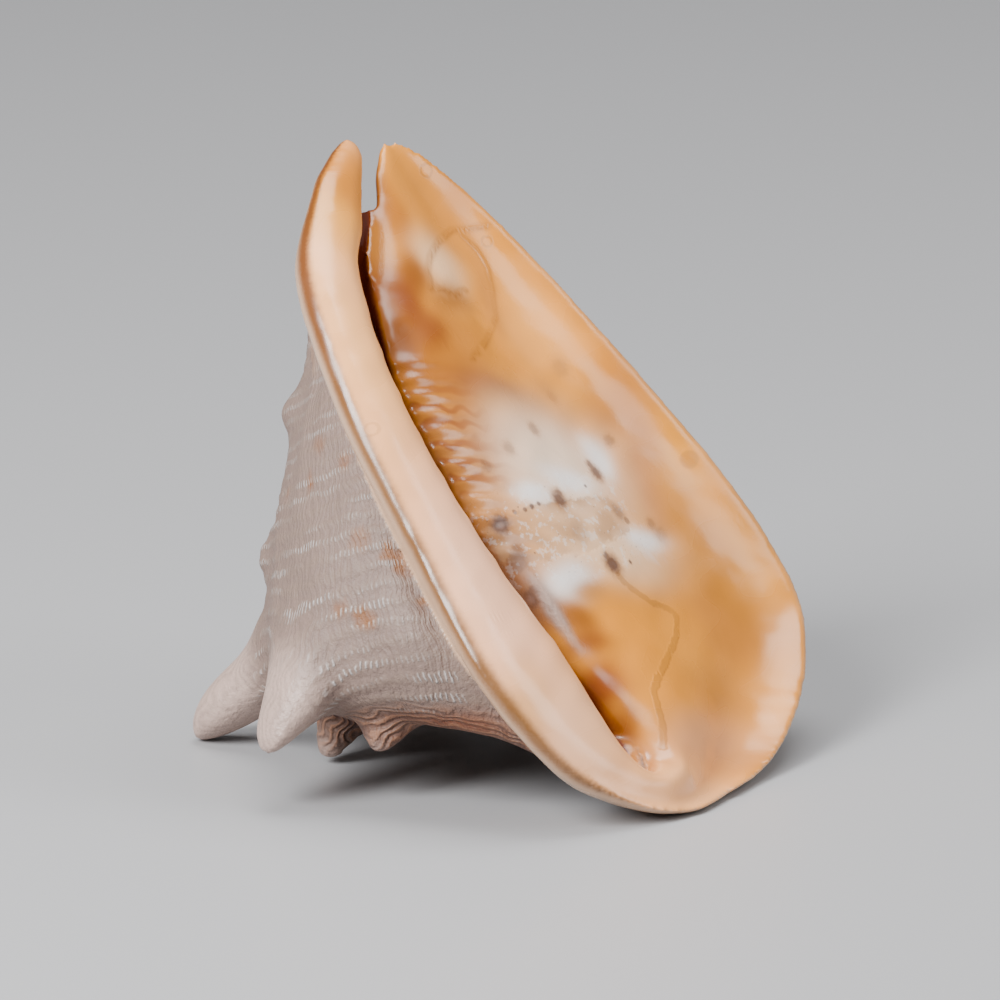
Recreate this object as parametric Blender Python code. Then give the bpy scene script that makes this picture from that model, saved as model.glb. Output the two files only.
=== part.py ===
"""Horned helmet shell, one piece, standing on two of its horns and the edge of its shield.

The shell's own frame is in millimetres: w runs towards the outer lip, l towards the canal (the
front end), n out of the glazed face. The shell is modelled there and then set down on the floor.
"""

import math

import bmesh
import bpy
import numpy as np

MM = 0.001

# How the shell stands: its own axes w and n in the room, +Z up, and where its frame starts.
LIP_AXIS = (-0.6516, -0.7447, 0.1441)
FACE_AXIS = (0.6408, -0.4389, 0.6298)
FRAME_START = (37.62, -48.98, 15.74)

# The coiling axis, in the shell's frame: a point level with the horns' tips, and the direction
# from the spire towards the canal.
COIL_POINT = (-12.0, 44.3, -44.0)
COIL_AXIS = (0.111, 0.905, 0.410)

WHORL_GROWTH = 2.0        # the last whorl doubles in radius over one turn
LIP_ANGLE = -35.0         # where the growth ends, in degrees about the coiling axis
PROFILE_ANGLE = 49.0      # the profile below is the one at this angle
SEAM_START = 235.0        # from here on the whorl is under the shield, so its growth is undone

# Profile of the last whorl: distance along the axis, how far its middle is pushed sideways and
# towards the back, radius, and how much of the spiral growth it follows.
PROFILE = (
    (-6.0, 0.0, 0.0, 0.0, 1.0),
    (-5.6, 0.0, 0.0, 8.0, 1.0),
    (-4.4, 0.0, 0.0, 18.0, 1.0),
    (-2.4, 0.0, 0.0, 28.0, 1.0),
    (1.0, 0.0, 0.0, 38.5, 1.0),
    (5.6, 0.0, 0.0, 46.5, 1.0),
    (10.5, 0.0, 0.0, 51.8, 1.0),
    (16.5, 0.0, 0.3, 53.8, 1.0),
    (24.0, 0.0, 1.0, 53.4, 1.0),
    (36.0, 0.5, 2.2, 50.4, 0.98),
    (48.0, 1.5, 4.2, 45.6, 0.93),
    (60.0, 3.0, 7.0, 38.6, 0.85),
    (72.0, 5.0, 10.0, 31.0, 0.72),
    (84.0, 8.0, 12.0, 23.0, 0.55),
    (96.0, 11.0, 12.5, 16.5, 0.36),
    (110.0, 11.0, 14.0, 12.4, 0.20),
    (118.0, 7.5, 16.0, 11.0, 0.10),
    (125.0, 3.0, 17.5, 9.4, 0.05),
    (129.5, -0.5, 18.5, 6.0, 0.02),
    (131.5, -1.5, 18.5, 0.0, 0.0),
)

# Horns: angle, distance along the axis and radius of the tip, distance along the axis of the
# root's middle, reach of the shaft and of its flared foot. The long ones stand on the shoulder of
# the last whorl, the short ones on the whorl before it.
HORNS = (
    (13.7, -1.0, 76.0, 18.5, 11.5, 20.0),
    (68.1, 0.5, 84.5, 19.0, 11.5, 22.0),
    (122.5, -2.6, 68.5, 15.5, 10.5, 18.0),
    (177.0, -3.0, 60.0, 11.0, 9.0, 15.0),
    (1.0, -8.0, 49.0, 1.6, 5.6, 8.5),
    (54.0, -8.8, 45.5, 0.9, 5.6, 8.5),
    (101.0, -7.2, 41.0, 0.2, 5.4, 8.0),
    (148.0, -8.0, 37.0, -0.3, 5.0, 7.5),
    (196.0, -8.6, 33.5, -0.8, 4.6, 7.0),
)

OLD_WHORL = 5.0           # roots behind this stand on the whorl before the last
HORN_HEEL = 1.45          # the horns' roots are shorter on the side of the spire

# Two rows of low knobs in front of the horns: distance along the axis, height, reach, angles.
KNOB_ROWS = (
    (46.0, 4.0, 6.6, (53.0, 98.0, 142.0, 188.0)),
    (81.0, 3.8, 5.6, (49.0, 94.0, 140.0, 186.0)),
)

# Where the whorl ends behind the slit, its back wall reaches further towards the spire.
WALL_ANGLE = -88.0
WALL_REACH = 55.0
WALL_DROP = 30.0
WALL_SPREAD = 7.0

# Just behind the lip the whorl is a little narrower.
WAIST_ANGLE = -43.0
WAIST_REACH = 17.0
WAIST_DEPTH = 3.5

# Height of the whorl's front side: under the glaze, and away from its middle.
CAP_HEIGHT = -6.5
CAP_MIDDLE = 5.0
CAP_FALL = 0.0036
CAP_SOFTNESS = 2.2

# The glazed face is a band bent like a U round the slit: down the outer lip, round behind the
# slit's end, and up the shield. Each row is one cross-section: the slit's edge (w, l), the outer
# rim (w, l), the rim's height and the kind of section, from 0 for the lip to 1 for the shield.
BAND = (
    (-6.5, 187.0, -1.0, 189.5, -3.0, 0.0),
    (-4.5, 180.5, 6.0, 183.5, -3.0, 0.0),
    (-0.5, 175.0, 14.0, 178.0, -2.5, 0.0),
    (3.5, 168.5, 21.0, 171.0, -2.5, 0.0),
    (8.0, 161.0, 28.0, 163.5, -2.0, 0.0),
    (16.0, 152.0, 35.5, 153.5, -1.5, 0.0),
    (21.5, 140.5, 40.5, 141.0, -1.0, 0.0),
    (25.5, 122.0, 44.5, 122.5, -0.5, 0.0),
    (26.5, 102.0, 46.5, 102.0, 0.0, 0.0),
    (23.5, 79.0, 45.5, 78.0, 0.0, 0.0),
    (18.5, 56.0, 44.0, 53.0, 0.0, 0.0),
    (13.0, 36.0, 43.0, 30.0, 1.0, 0.0),
    (9.0, 20.0, 36.5, 12.0, 1.0, 0.05),
    (5.0, 9.0, 28.0, 0.5, 0.0, 0.15),
    (1.0, 1.0, 17.0, -8.0, 0.0, 0.3),
    (-2.0, -2.5, 4.5, -14.5, 1.0, 0.5),
    (-5.5, -2.0, -10.0, -16.5, 2.0, 0.65),
    (-8.0, 1.0, -26.0, -12.5, 1.0, 0.8),
    (-7.5, 8.0, -46.0, -6.0, -1.0, 0.92),
    (-4.0, 19.0, -70.0, 10.0, -1.0, 1.0),
    (1.0, 33.0, -89.0, 31.0, -2.5, 1.0),
    (6.5, 50.0, -95.5, 50.0, -3.5, 1.0),
    (12.0, 70.0, -89.5, 71.0, -2.0, 1.0),
    (16.0, 93.0, -79.5, 94.5, -1.5, 1.0),
    (17.5, 115.0, -68.0, 117.0, -1.5, 1.0),
    (15.0, 135.0, -57.5, 138.0, -2.0, 1.0),
    (7.5, 151.0, -48.0, 156.5, -3.0, 1.0),
    (-1.0, 163.0, -39.0, 171.5, -4.0, 1.0),
    (-7.0, 174.5, -29.0, 182.0, -4.0, 1.0),
    (-13.0, 184.5, -21.0, 189.0, -4.0, 1.0),
)

# Cross-sections of the band: (share of the width, millimetres added, height over the rim).
LIP_SECTION = (
    (0.0, 3.0, -17.0),
    (0.0, 0.8, -11.0),
    (0.0, 0.0, -5.0),
    (0.0, 1.0, -1.4),
    (0.06, 2.8, 0.8),
    (0.28, 1.4, 1.8),
    (0.50, 0.6, 1.7),
    (0.72, 0.2, 0.8),
    (0.88, 0.0, -1.2),
    (0.975, 0.0, -3.6),
    (1.0, 0.0, -6.0),
    (0.96, 0.0, -8.2),
    (0.87, 0.0, -10.4),
    (0.70, 0.0, -12.6),
    (0.50, 0.0, -15.0),
    (0.26, 1.5, -17.5),
)
SHIELD_SECTION = (
    (0.0, 5.0, -18.0),
    (0.0, 1.0, -13.5),
    (0.0, 0.0, -9.0),
    (0.0, 1.4, -5.4),
    (0.04, 3.6, -2.8),
    (0.18, 2.0, -1.4),
    (0.36, 0.0, -2.0),
    (0.54, 0.0, -4.8),
    (0.70, 0.0, -7.4),
    (0.86, 0.0, -5.0),
    (0.95, 0.0, -1.2),
    (0.985, 0.0, -0.2),
    (1.0, 0.0, -2.2),
    (0.98, 0.0, -5.0),
    (0.88, 0.0, -9.8),
    (0.68, 0.0, -12.2),
    (0.36, 0.0, -14.6),
)
LIP_WIDTH = 22.0          # sections of narrower parts are thinner
SHIELD_WIDTH = 80.0
END_LENGTH = 8.0          # the two tips are rounded over this length
TIP_START = 148.0         # from here on the lip and the shield thin out towards their tips
TIP_END = 174.0
LIP_THINNING = 0.35
SHIELD_THINNING = 0.3

# Folds across the columella, and blunt teeth inside the outer lip.
FOLD_FIRST = 66.0
FOLD_LAST = 122.0
FOLD_PITCH = 5.2
FOLD_HEIGHT = 1.3
FOLD_REACH = 15.0
TOOTH_FIRST = 36.0
TOOTH_LAST = 128.0
TOOTH_PITCH = 12.5
TOOTH_HEIGHT = 2.2

# The hollow inside. Each row is one section across the coiling axis: where it leaves the face,
# the slit from w to w, the middle (w, n) of the hollow, its half width and half depth.
HOLLOW = (
    (-1.0, -2.5, 1.5, -0.5, -9.0, 3.0, 2.8),
    (6.0, -5.0, 4.0, 0.0, -9.8, 5.5, 3.8),
    (14.0, -4.5, 7.5, 2.5, -11.5, 7.0, 5.4),
    (24.0, -1.0, 11.0, 7.5, -15.0, 9.0, 8.5),
    (36.0, 3.0, 14.0, 16.0, -25.0, 16.0, 18.0),
    (56.0, 8.5, 19.5, 23.0, -33.0, 18.5, 25.0),
    (79.0, 13.5, 24.5, 25.0, -30.0, 15.0, 21.0),
    (102.0, 16.5, 27.5, 24.0, -21.0, 10.0, 12.5),
    (122.0, 16.5, 26.5, 20.0, -15.0, 7.0, 7.0),
    (139.5, 12.5, 22.5, 16.0, -11.5, 5.8, 5.0),
    (151.0, 6.5, 18.0, 12.0, -11.0, 6.0, 4.5),
    (162.5, -1.5, 8.5, 3.5, -10.5, 5.5, 4.5),
    (174.5, -8.0, 1.0, -3.5, -10.5, 5.0, 4.5),
    (184.5, -14.5, -5.5, -9.5, -10.5, 5.0, 4.5),
    (193.0, -18.0, -12.5, -15.0, -10.5, 5.0, 4.5),
)
HOLLOW_TOP = -4.6
HOLLOW_NECK = 0.55
SLIT_INSET = 1.8          # the cutter is this much narrower where the whorl's front is sunk
SLIT_SINK = 9.0           # how far the whorl's front is sunk below the slit
SLIT_MARGIN = 3.0

# How finely the surfaces are drawn, then made one skin, then reduced to facets.
WHORL_STEPS = (260, 130)
BAND_STEPS = (330, 56)
HOLLOW_STEPS = (70, 30)
SKIN_CELL = 0.95
SKIN_SMOOTHING = 10
FACET_SHARE = 0.0345

# The glaze of the face, which is most of what shows.
GLAZE_COLOUR = (0.80, 0.55, 0.38)
GLAZE_ROUGHNESS = 0.25


def unit(vector):
    vector = np.asarray(vector, float)
    return vector / np.linalg.norm(vector)


COIL = unit(COIL_AXIS)
ACROSS = unit(np.array([1.0, 0.0, 0.0]) - COIL[0] * COIL)
BACKWARD = np.cross(COIL, ACROSS)


def spline(knots, values, at):
    """A natural cubic spline through the rows of values at knots."""
    knots = np.asarray(knots, float)
    values = np.asarray(values, float)
    if values.ndim == 1:
        values = values[:, None]
    step = np.diff(knots)
    slope = np.diff(values, axis=0) / step[:, None]
    count = len(knots)
    system = np.eye(count)
    right = np.zeros_like(values)
    for i in range(1, count - 1):
        system[i, i - 1 : i + 2] = step[i - 1], 2 * (step[i - 1] + step[i]), step[i]
        right[i] = 3 * (slope[i] - slope[i - 1])
    bend = np.linalg.solve(system, right)
    at = np.asarray(at, float)
    i = np.clip(np.searchsorted(knots, at, side="right") - 1, 0, count - 2)
    x = (at - knots[i])[..., None]
    h = step[i][..., None]
    linear = slope[i] - h * (2 * bend[i] + bend[i + 1]) / 3
    return values[i] + x * (linear + x * (bend[i] + x * (bend[i + 1] - bend[i]) / (3 * h)))


def ease(x, low, high):
    t = np.clip((x - low) / (high - low), 0.0, 1.0)
    return t * t * (3 - 2 * t)


def stations(*paths):
    """Shares of the mean length of the paths at their points, from 0 to 1."""
    length = sum(np.linalg.norm(np.diff(path, axis=0), axis=1) for path in paths)
    return np.concatenate([[0], np.cumsum(length)]) / length.sum()


def growth(angle):
    """Size of the whorl at an angle, against its size at PROFILE_ANGLE."""
    full = WHORL_GROWTH ** ((PROFILE_ANGLE - angle) / 360)
    lip = WHORL_GROWTH ** ((PROFILE_ANGLE - LIP_ANGLE) / 360)
    seam = ease(angle, SEAM_START, LIP_ANGLE + 360)
    return full * (1 - seam) + lip * seam


def turned(a, b):
    """Difference of two angles, in degrees from -180 to 180."""
    return (a - b + 180) % 360 - 180


def outward(angle):
    """Direction away from the coiling axis at an angle."""
    a = np.radians(angle)[..., None]
    return np.cos(a) * ACROSS + np.sin(a) * BACKWARD


def smooth_whorl(angle, t):
    """The whorl without horns: a point, its distance along the axis and from its middle."""
    rows = np.array(PROFILE)
    shape = spline(stations(rows[:, [0, 3]]), rows, t)
    z0, side, push, radius, follows = np.moveaxis(shape, -1, 0)
    radius = np.maximum(radius, 0.0)
    size = 1 + (growth(angle) - 1) * follows
    z = rows[0, 0] + (z0 - rows[0, 0]) * size
    r = radius * size
    waist = np.exp(-((turned(angle, WAIST_ANGLE) / WAIST_REACH) ** 2))
    r = r - WAIST_DEPTH * waist * ease(radius, 20, 36)
    away = outward(angle)
    point = np.array(COIL_POINT) + z[..., None] * COIL + r[..., None] * away
    point = point + side[..., None] * ACROSS + push[..., None] * BACKWARD
    wall = np.exp(-((turned(angle, WALL_ANGLE) / WALL_REACH) ** 2))
    end = np.exp(-((turned(angle, WALL_ANGLE - 7) / 32) ** 2))
    keel = (z0 + 1 - 9 * end) / (15 + 7 * end)
    back = wall * ease(radius, 24, 42) * (1 - ease(keel, 0, 1))
    back = back + 0.2 * wall * ease(z0, -1, 8) * (1 - ease(z0, 12, 40))
    point = point + back[..., None] * (WALL_SPREAD * away - WALL_DROP * COIL)
    return point, z, r


def horn_root(angle, z):
    t = np.linspace(0, 1, 1201)
    point, along, radius = smooth_whorl(np.full_like(t, angle), t)
    best = np.argmin(np.abs(along - z))
    return point[best], radius[best]


def whorl_points(angle, t):
    """Points of the last whorl and the spire, in the shell's frame."""
    smooth, z, r = smooth_whorl(angle, t)
    point = smooth.copy()
    away = outward(angle)
    for horn_angle, tip, reach, root, shaft, foot in HORNS:
        base, base_radius = horn_root(horn_angle, root)
        across = np.radians(turned(angle, horn_angle)) * np.maximum(r, 0.6 * base_radius)
        along = np.where(z < root, HORN_HEEL * (z - root), z - root)
        if root < OLD_WHORL:
            along = np.hypot(along, r - base_radius)
        far = across**2 + along**2
        rise = 0.8 * np.exp(-((far / shaft**2) ** 1.5)) + 0.2 * np.exp(-far / foot**2)
        aim = np.array(COIL_POINT) + tip * COIL + reach * outward(np.array(horn_angle)) - base
        point = point + rise[..., None] * aim
    for row, height, reach, angles in KNOB_ROWS:
        for knob_angle in angles:
            size = 1 + 0.9 * (growth(np.array(knob_angle)) - 1)
            across = np.radians(turned(angle, knob_angle)) * np.maximum(r, 15.0)
            far = across**2 + (1.15 * (z - row * size)) ** 2
            point = point + (height * np.exp(-far / reach**2))[..., None] * away
    cap = CAP_HEIGHT - CAP_FALL * (point[..., 0] - CAP_MIDDLE) ** 2
    cap = cap - SLIT_SINK * below_slit(point[..., 0], point[..., 1])
    over = (point[..., 2] - cap) / CAP_SOFTNESS
    point[..., 2] = cap - CAP_SOFTNESS * np.logaddexp(0.0, -over)
    return point


def sunk(l):
    """From 0 to 1, how far the whorl's front is sunk at l."""
    return ease(l, 4, 20) * (1 - ease(l, 128, 150))


def below_slit(w, l):
    """From 0 to 1, how far the whorl's front is sunk at (w, l)."""
    rows = np.array(HOLLOW)
    edges = spline(rows[:, 0], rows[:, 1:3], np.clip(l, rows[0, 0], rows[-1, 0]))
    middle = edges.mean(axis=-1)
    half = (edges[..., 1] - edges[..., 0]) / 2 + SLIT_MARGIN
    return sunk(l) * np.exp(-(((w - middle) / half) ** 4))


def closed_spline(points, count):
    """A closed smooth curve through points."""
    tripled = np.concatenate([points, points, points])
    at = np.arange(count) * len(points) / count + len(points)
    return spline(np.arange(len(tripled)), tripled, at)


def bumps(x, first, last, pitch):
    """Rounded ridges one pitch apart between first and last."""
    wave = 0.5 + 0.5 * np.cos(2 * math.pi * (x - first) / pitch)
    return wave**2 * ease(x, first - pitch, first) * (1 - ease(x, last, last + pitch))


def band_points(along, around):
    """Rings of points of the lip and the shield, in the shell's frame."""
    rows = np.array(BAND)
    place = stations(rows[:, :2], rows[:, 2:4])
    s = np.linspace(0, 1, along)
    row = spline(place, rows, s)
    kind = np.clip(row[:, 5:6], 0, 1)
    inner, outer = row[:, None, :2], row[:, None, 2:4]
    width = np.linalg.norm(outer - inner, axis=2)
    out = (outer - inner) / width[..., None]
    lip = closed_spline(np.array(LIP_SECTION), around)[None]
    shield = closed_spline(np.array(SHIELD_SECTION), around)[None]
    share, added, height = np.moveaxis(lip * (1 - kind[..., None]) + shield * kind[..., None], -1, 0)
    narrow = np.clip(width / LIP_WIDTH, 0.0, 1.0)
    flat = 0.4 + 0.5 * ease(inner[..., 1], 110, 160)
    depth = 1 - kind * (1 - np.clip(1 - flat * (1 - width / SHIELD_WIDTH), 0.0, 1.0))
    x = share * width + added * narrow
    height = height * np.where(height > -10, depth, 1) - np.where(height > -10, 0, 10 * (depth - 1))
    height = height * (0.5 + 0.5 * narrow)
    tip = ease(inner[..., 1], TIP_START, TIP_END)
    height = height * (1 - tip * (LIP_THINNING * (1 - kind) + SHIELD_THINNING * kind))
    x = x + tip * kind * np.maximum(-height - 1.5, 0.0) * (1 - ease(share, 0.1, 0.6))
    point = np.empty(x.shape + (3,))
    point[..., :2] = inner + out * x[..., None]
    point[..., 2] = row[:, 4:5] + height
    on_shield = kind * np.exp(-((x / FOLD_REACH) ** 2)) * ease(height, -16, -8)
    fold = bumps(point[..., 1] + 0.25 * x, FOLD_FIRST, FOLD_LAST, FOLD_PITCH)
    point[..., 2] += FOLD_HEIGHT * on_shield * (fold - 0.4)
    in_slit = (1 - kind) * np.exp(-((x / 3.0) ** 2)) * np.exp(-(((height + 5) / 4.0) ** 2))
    tooth = bumps(point[..., 1], TOOTH_FIRST, TOOTH_LAST, TOOTH_PITCH)
    point[..., :2] -= out * (TOOTH_HEIGHT * in_slit * tooth)[..., None]
    return rounded_ends(point)


def rounded_ends(rings):
    """Draws the first and last rings together, so that the band ends in blunt tips."""
    middle = rings.mean(axis=1, keepdims=True)
    step = np.linalg.norm(np.diff(middle[:, 0], axis=0), axis=1)
    way = np.concatenate([[0], np.cumsum(step)])
    left = np.minimum(way, way[-1] - way) + 0.05
    keep = np.sqrt(1 - np.clip(1 - left / END_LENGTH, 0, 1) ** 2)[:, None, None]
    return middle + (rings - middle) * keep


def hollow_points(along, around):
    """Rings of points of the slit and the hollow behind it, one ring for each l."""
    rows = np.array(HOLLOW)
    row = spline(rows[:, 0], rows, np.linspace(rows[0, 0], rows[-1, 0], along))
    l, slit_low, slit_high, w, n, half_width, half_depth = row.T[:, :, None]
    a = np.linspace(0.5 * math.pi + HOLLOW_NECK, 2.5 * math.pi - HOLLOW_NECK, around - 4)[None]
    belly_w = w + half_width * np.cos(a)
    belly_n = n + half_depth * np.sin(a)
    neck = np.minimum(n + half_depth * math.cos(HOLLOW_NECK) + 1, HOLLOW_TOP - 0.8)
    top = np.full_like(l, HOLLOW_TOP)
    inset = SLIT_INSET * sunk(l)
    low, high = slit_low + inset, slit_high - inset
    ring_w = np.concatenate([low, low, belly_w, high, high], axis=1)
    ring_n = np.concatenate([top, neck, belly_n, neck, top], axis=1)
    tilt = (ring_w - slit_low) * COIL[0] + np.minimum(ring_n, 0) * COIL[2]
    return np.stack([ring_w, l - tilt / COIL[1], ring_n], axis=-1)


def in_room(points):
    """From the shell's frame in millimetres to the room in metres."""
    w, n = unit(LIP_AXIS), unit(FACE_AXIS)
    return (points @ np.array([w, np.cross(w, n), n]) + np.array(FRAME_START)) * MM


def solid(name, rings):
    """A closed mesh from rings of points, each ring closed, with a cap at each end."""
    mesh = bmesh.new()
    rings = [[mesh.verts.new(p) for p in ring] for ring in in_room(rings)]
    for a, b in zip(rings, rings[1:]):
        for i in range(len(a)):
            j = (i + 1) % len(a)
            mesh.faces.new((a[i], a[j], b[j], b[i]))
    for ring in (rings[0], rings[-1]):
        tip = mesh.verts.new(np.mean([v.co for v in ring], axis=0))
        for i in range(len(ring)):
            mesh.faces.new((ring[i], ring[(i + 1) % len(ring)], tip))
    bmesh.ops.recalc_face_normals(mesh, faces=mesh.faces)
    data = bpy.data.meshes.new(name)
    mesh.to_mesh(data)
    mesh.free()
    made = bpy.data.objects.new(name, data)
    bpy.context.scene.collection.objects.link(made)
    return made


def whorl():
    angle = LIP_ANGLE + 360 * np.arange(WHORL_STEPS[0]) / WHORL_STEPS[0]
    t = np.linspace(0.006, 0.996, WHORL_STEPS[1])
    grid_t, grid_angle = np.meshgrid(t, angle, indexing="ij")
    return solid("helmet_shell", whorl_points(grid_angle, grid_t))


def glaze():
    material = bpy.data.materials.new("shell_glaze")
    material.use_nodes = True
    surface = material.node_tree.nodes["Principled BSDF"]
    surface.inputs["Base Color"].default_value = (*GLAZE_COLOUR, 1.0)
    surface.inputs["Roughness"].default_value = GLAZE_ROUGHNESS
    return material


def combine(target, other, operation):
    step = target.modifiers.new(other.name, "BOOLEAN")
    step.object = other
    step.operation = operation
    step.solver = "EXACT"
    other.hide_render = True


def main():
    for old in list(bpy.data.objects):
        bpy.data.objects.remove(old)
    shell = whorl()
    shell.data.materials.append(glaze())
    combine(shell, solid("band", band_points(*BAND_STEPS)), "UNION")
    combine(shell, solid("hollow", hollow_points(*HOLLOW_STEPS)), "DIFFERENCE")
    skin = shell.modifiers.new("skin", "REMESH")
    skin.mode = "VOXEL"
    skin.voxel_size = SKIN_CELL * MM
    even = shell.modifiers.new("even", "SMOOTH")
    even.factor = 0.5
    even.iterations = SKIN_SMOOTHING
    facets = shell.modifiers.new("facets", "DECIMATE")
    facets.ratio = FACET_SHARE


main()
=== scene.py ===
"""The horned helmet shell dressed for its picture: one skin with its ridges, colours and glaze."""

import math

import bmesh
import bpy
import numpy as np
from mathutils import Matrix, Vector
from mathutils.bvhtree import BVHTree
from mathutils.kdtree import KDTree


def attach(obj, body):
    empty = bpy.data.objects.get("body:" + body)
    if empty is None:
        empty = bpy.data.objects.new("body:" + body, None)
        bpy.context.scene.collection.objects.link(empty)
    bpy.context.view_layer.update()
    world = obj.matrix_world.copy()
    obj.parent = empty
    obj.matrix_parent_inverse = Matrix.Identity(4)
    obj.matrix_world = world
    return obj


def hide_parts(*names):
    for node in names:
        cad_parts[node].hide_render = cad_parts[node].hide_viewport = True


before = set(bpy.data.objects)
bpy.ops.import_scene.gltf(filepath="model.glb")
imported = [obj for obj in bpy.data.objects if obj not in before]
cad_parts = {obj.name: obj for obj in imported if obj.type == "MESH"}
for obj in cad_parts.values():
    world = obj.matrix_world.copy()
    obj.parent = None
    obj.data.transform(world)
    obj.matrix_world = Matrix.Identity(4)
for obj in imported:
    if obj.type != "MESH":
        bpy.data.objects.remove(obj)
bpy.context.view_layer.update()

MM = 0.001

# How the shell stands: its own axes w and n in the room, +Z up, and where its frame starts.
LIP_AXIS = (-0.6516, -0.7447, 0.1441)
FACE_AXIS = (0.6408, -0.4389, 0.6298)
FRAME_START = (37.62, -48.98, 15.74)

# The coiling axis, in the shell's frame: a point level with the horns' tips, and the direction
# from the spire towards the canal.
COIL_POINT = (-12.0, 44.3, -44.0)
COIL_AXIS = (0.111, 0.905, 0.410)

WHORL_GROWTH = 2.0  # the last whorl doubles in radius over one turn
LIP_ANGLE = -35.0  # where the growth ends, in degrees about the coiling axis
PROFILE_ANGLE = 49.0  # the profile below is the one at this angle
SEAM_START = 235.0  # from here on the whorl is under the shield, so its growth is undone

# Profile of the last whorl: distance along the axis, how far its middle is pushed sideways and
# towards the back, radius, and how much of the spiral growth it follows.
PROFILE = (
    (-6.0, 0.0, 0.0, 0.0, 1.0),
    (-5.6, 0.0, 0.0, 8.0, 1.0),
    (-4.4, 0.0, 0.0, 18.0, 1.0),
    (-2.4, 0.0, 0.0, 28.0, 1.0),
    (1.0, 0.0, 0.0, 38.5, 1.0),
    (5.6, 0.0, 0.0, 46.5, 1.0),
    (10.5, 0.0, 0.0, 51.8, 1.0),
    (16.5, 0.0, 0.3, 53.8, 1.0),
    (24.0, 0.0, 1.0, 53.4, 1.0),
    (36.0, 0.5, 2.2, 50.4, 0.98),
    (48.0, 1.5, 4.2, 45.6, 0.93),
    (60.0, 3.0, 7.0, 38.6, 0.85),
    (72.0, 5.0, 10.0, 31.0, 0.72),
    (84.0, 8.0, 12.0, 23.0, 0.55),
    (96.0, 11.0, 12.5, 16.5, 0.36),
    (110.0, 11.0, 14.0, 12.4, 0.20),
    (118.0, 7.5, 16.0, 11.0, 0.10),
    (125.0, 3.0, 17.5, 9.4, 0.05),
    (129.5, -0.5, 18.5, 6.0, 0.02),
    (131.5, -1.5, 18.5, 0.0, 0.0),
)

# Horns: angle, distance along the axis and radius of the tip, distance along the axis of the
# root's middle, reach of the shaft and of its flared foot. The long ones stand on the shoulder of
# the last whorl, the short ones on the whorl before it.
HORNS = (
    (13.7, -1.0, 76.0, 18.5, 11.5, 20.0),
    (68.1, 0.5, 84.5, 19.0, 11.5, 22.0),
    (122.5, -2.6, 68.5, 15.5, 10.5, 18.0),
    (177.0, -3.0, 60.0, 11.0, 9.0, 15.0),
    (1.0, -8.0, 49.0, 1.6, 5.6, 8.5),
    (54.0, -8.8, 45.5, 0.9, 5.6, 8.5),
    (101.0, -7.2, 41.0, 0.2, 5.4, 8.0),
    (148.0, -8.0, 37.0, -0.3, 5.0, 7.5),
    (196.0, -8.6, 33.5, -0.8, 4.6, 7.0),
)

OLD_WHORL = 5.0  # roots behind this stand on the whorl before the last
HORN_HEEL = 1.45  # the horns' roots are shorter on the side of the spire

# Two rows of low knobs in front of the horns: distance along the axis, height, reach, angles.
KNOB_ROWS = (
    (46.0, 4.0, 6.6, (53.0, 98.0, 142.0, 188.0)),
    (81.0, 3.8, 5.6, (49.0, 94.0, 140.0, 186.0)),
)

# Where the whorl ends behind the slit, its back wall reaches further towards the spire.
WALL_ANGLE = -88.0
WALL_REACH = 55.0
WALL_DROP = 30.0
WALL_SPREAD = 7.0

# Just behind the lip the whorl is a little narrower.
WAIST_ANGLE = -43.0
WAIST_REACH = 17.0
WAIST_DEPTH = 3.5

# Height of the whorl's front side: under the glaze, and away from its middle.
CAP_HEIGHT = -6.5
CAP_MIDDLE = 5.0
CAP_FALL = 0.0036
CAP_SOFTNESS = 2.2

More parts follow.
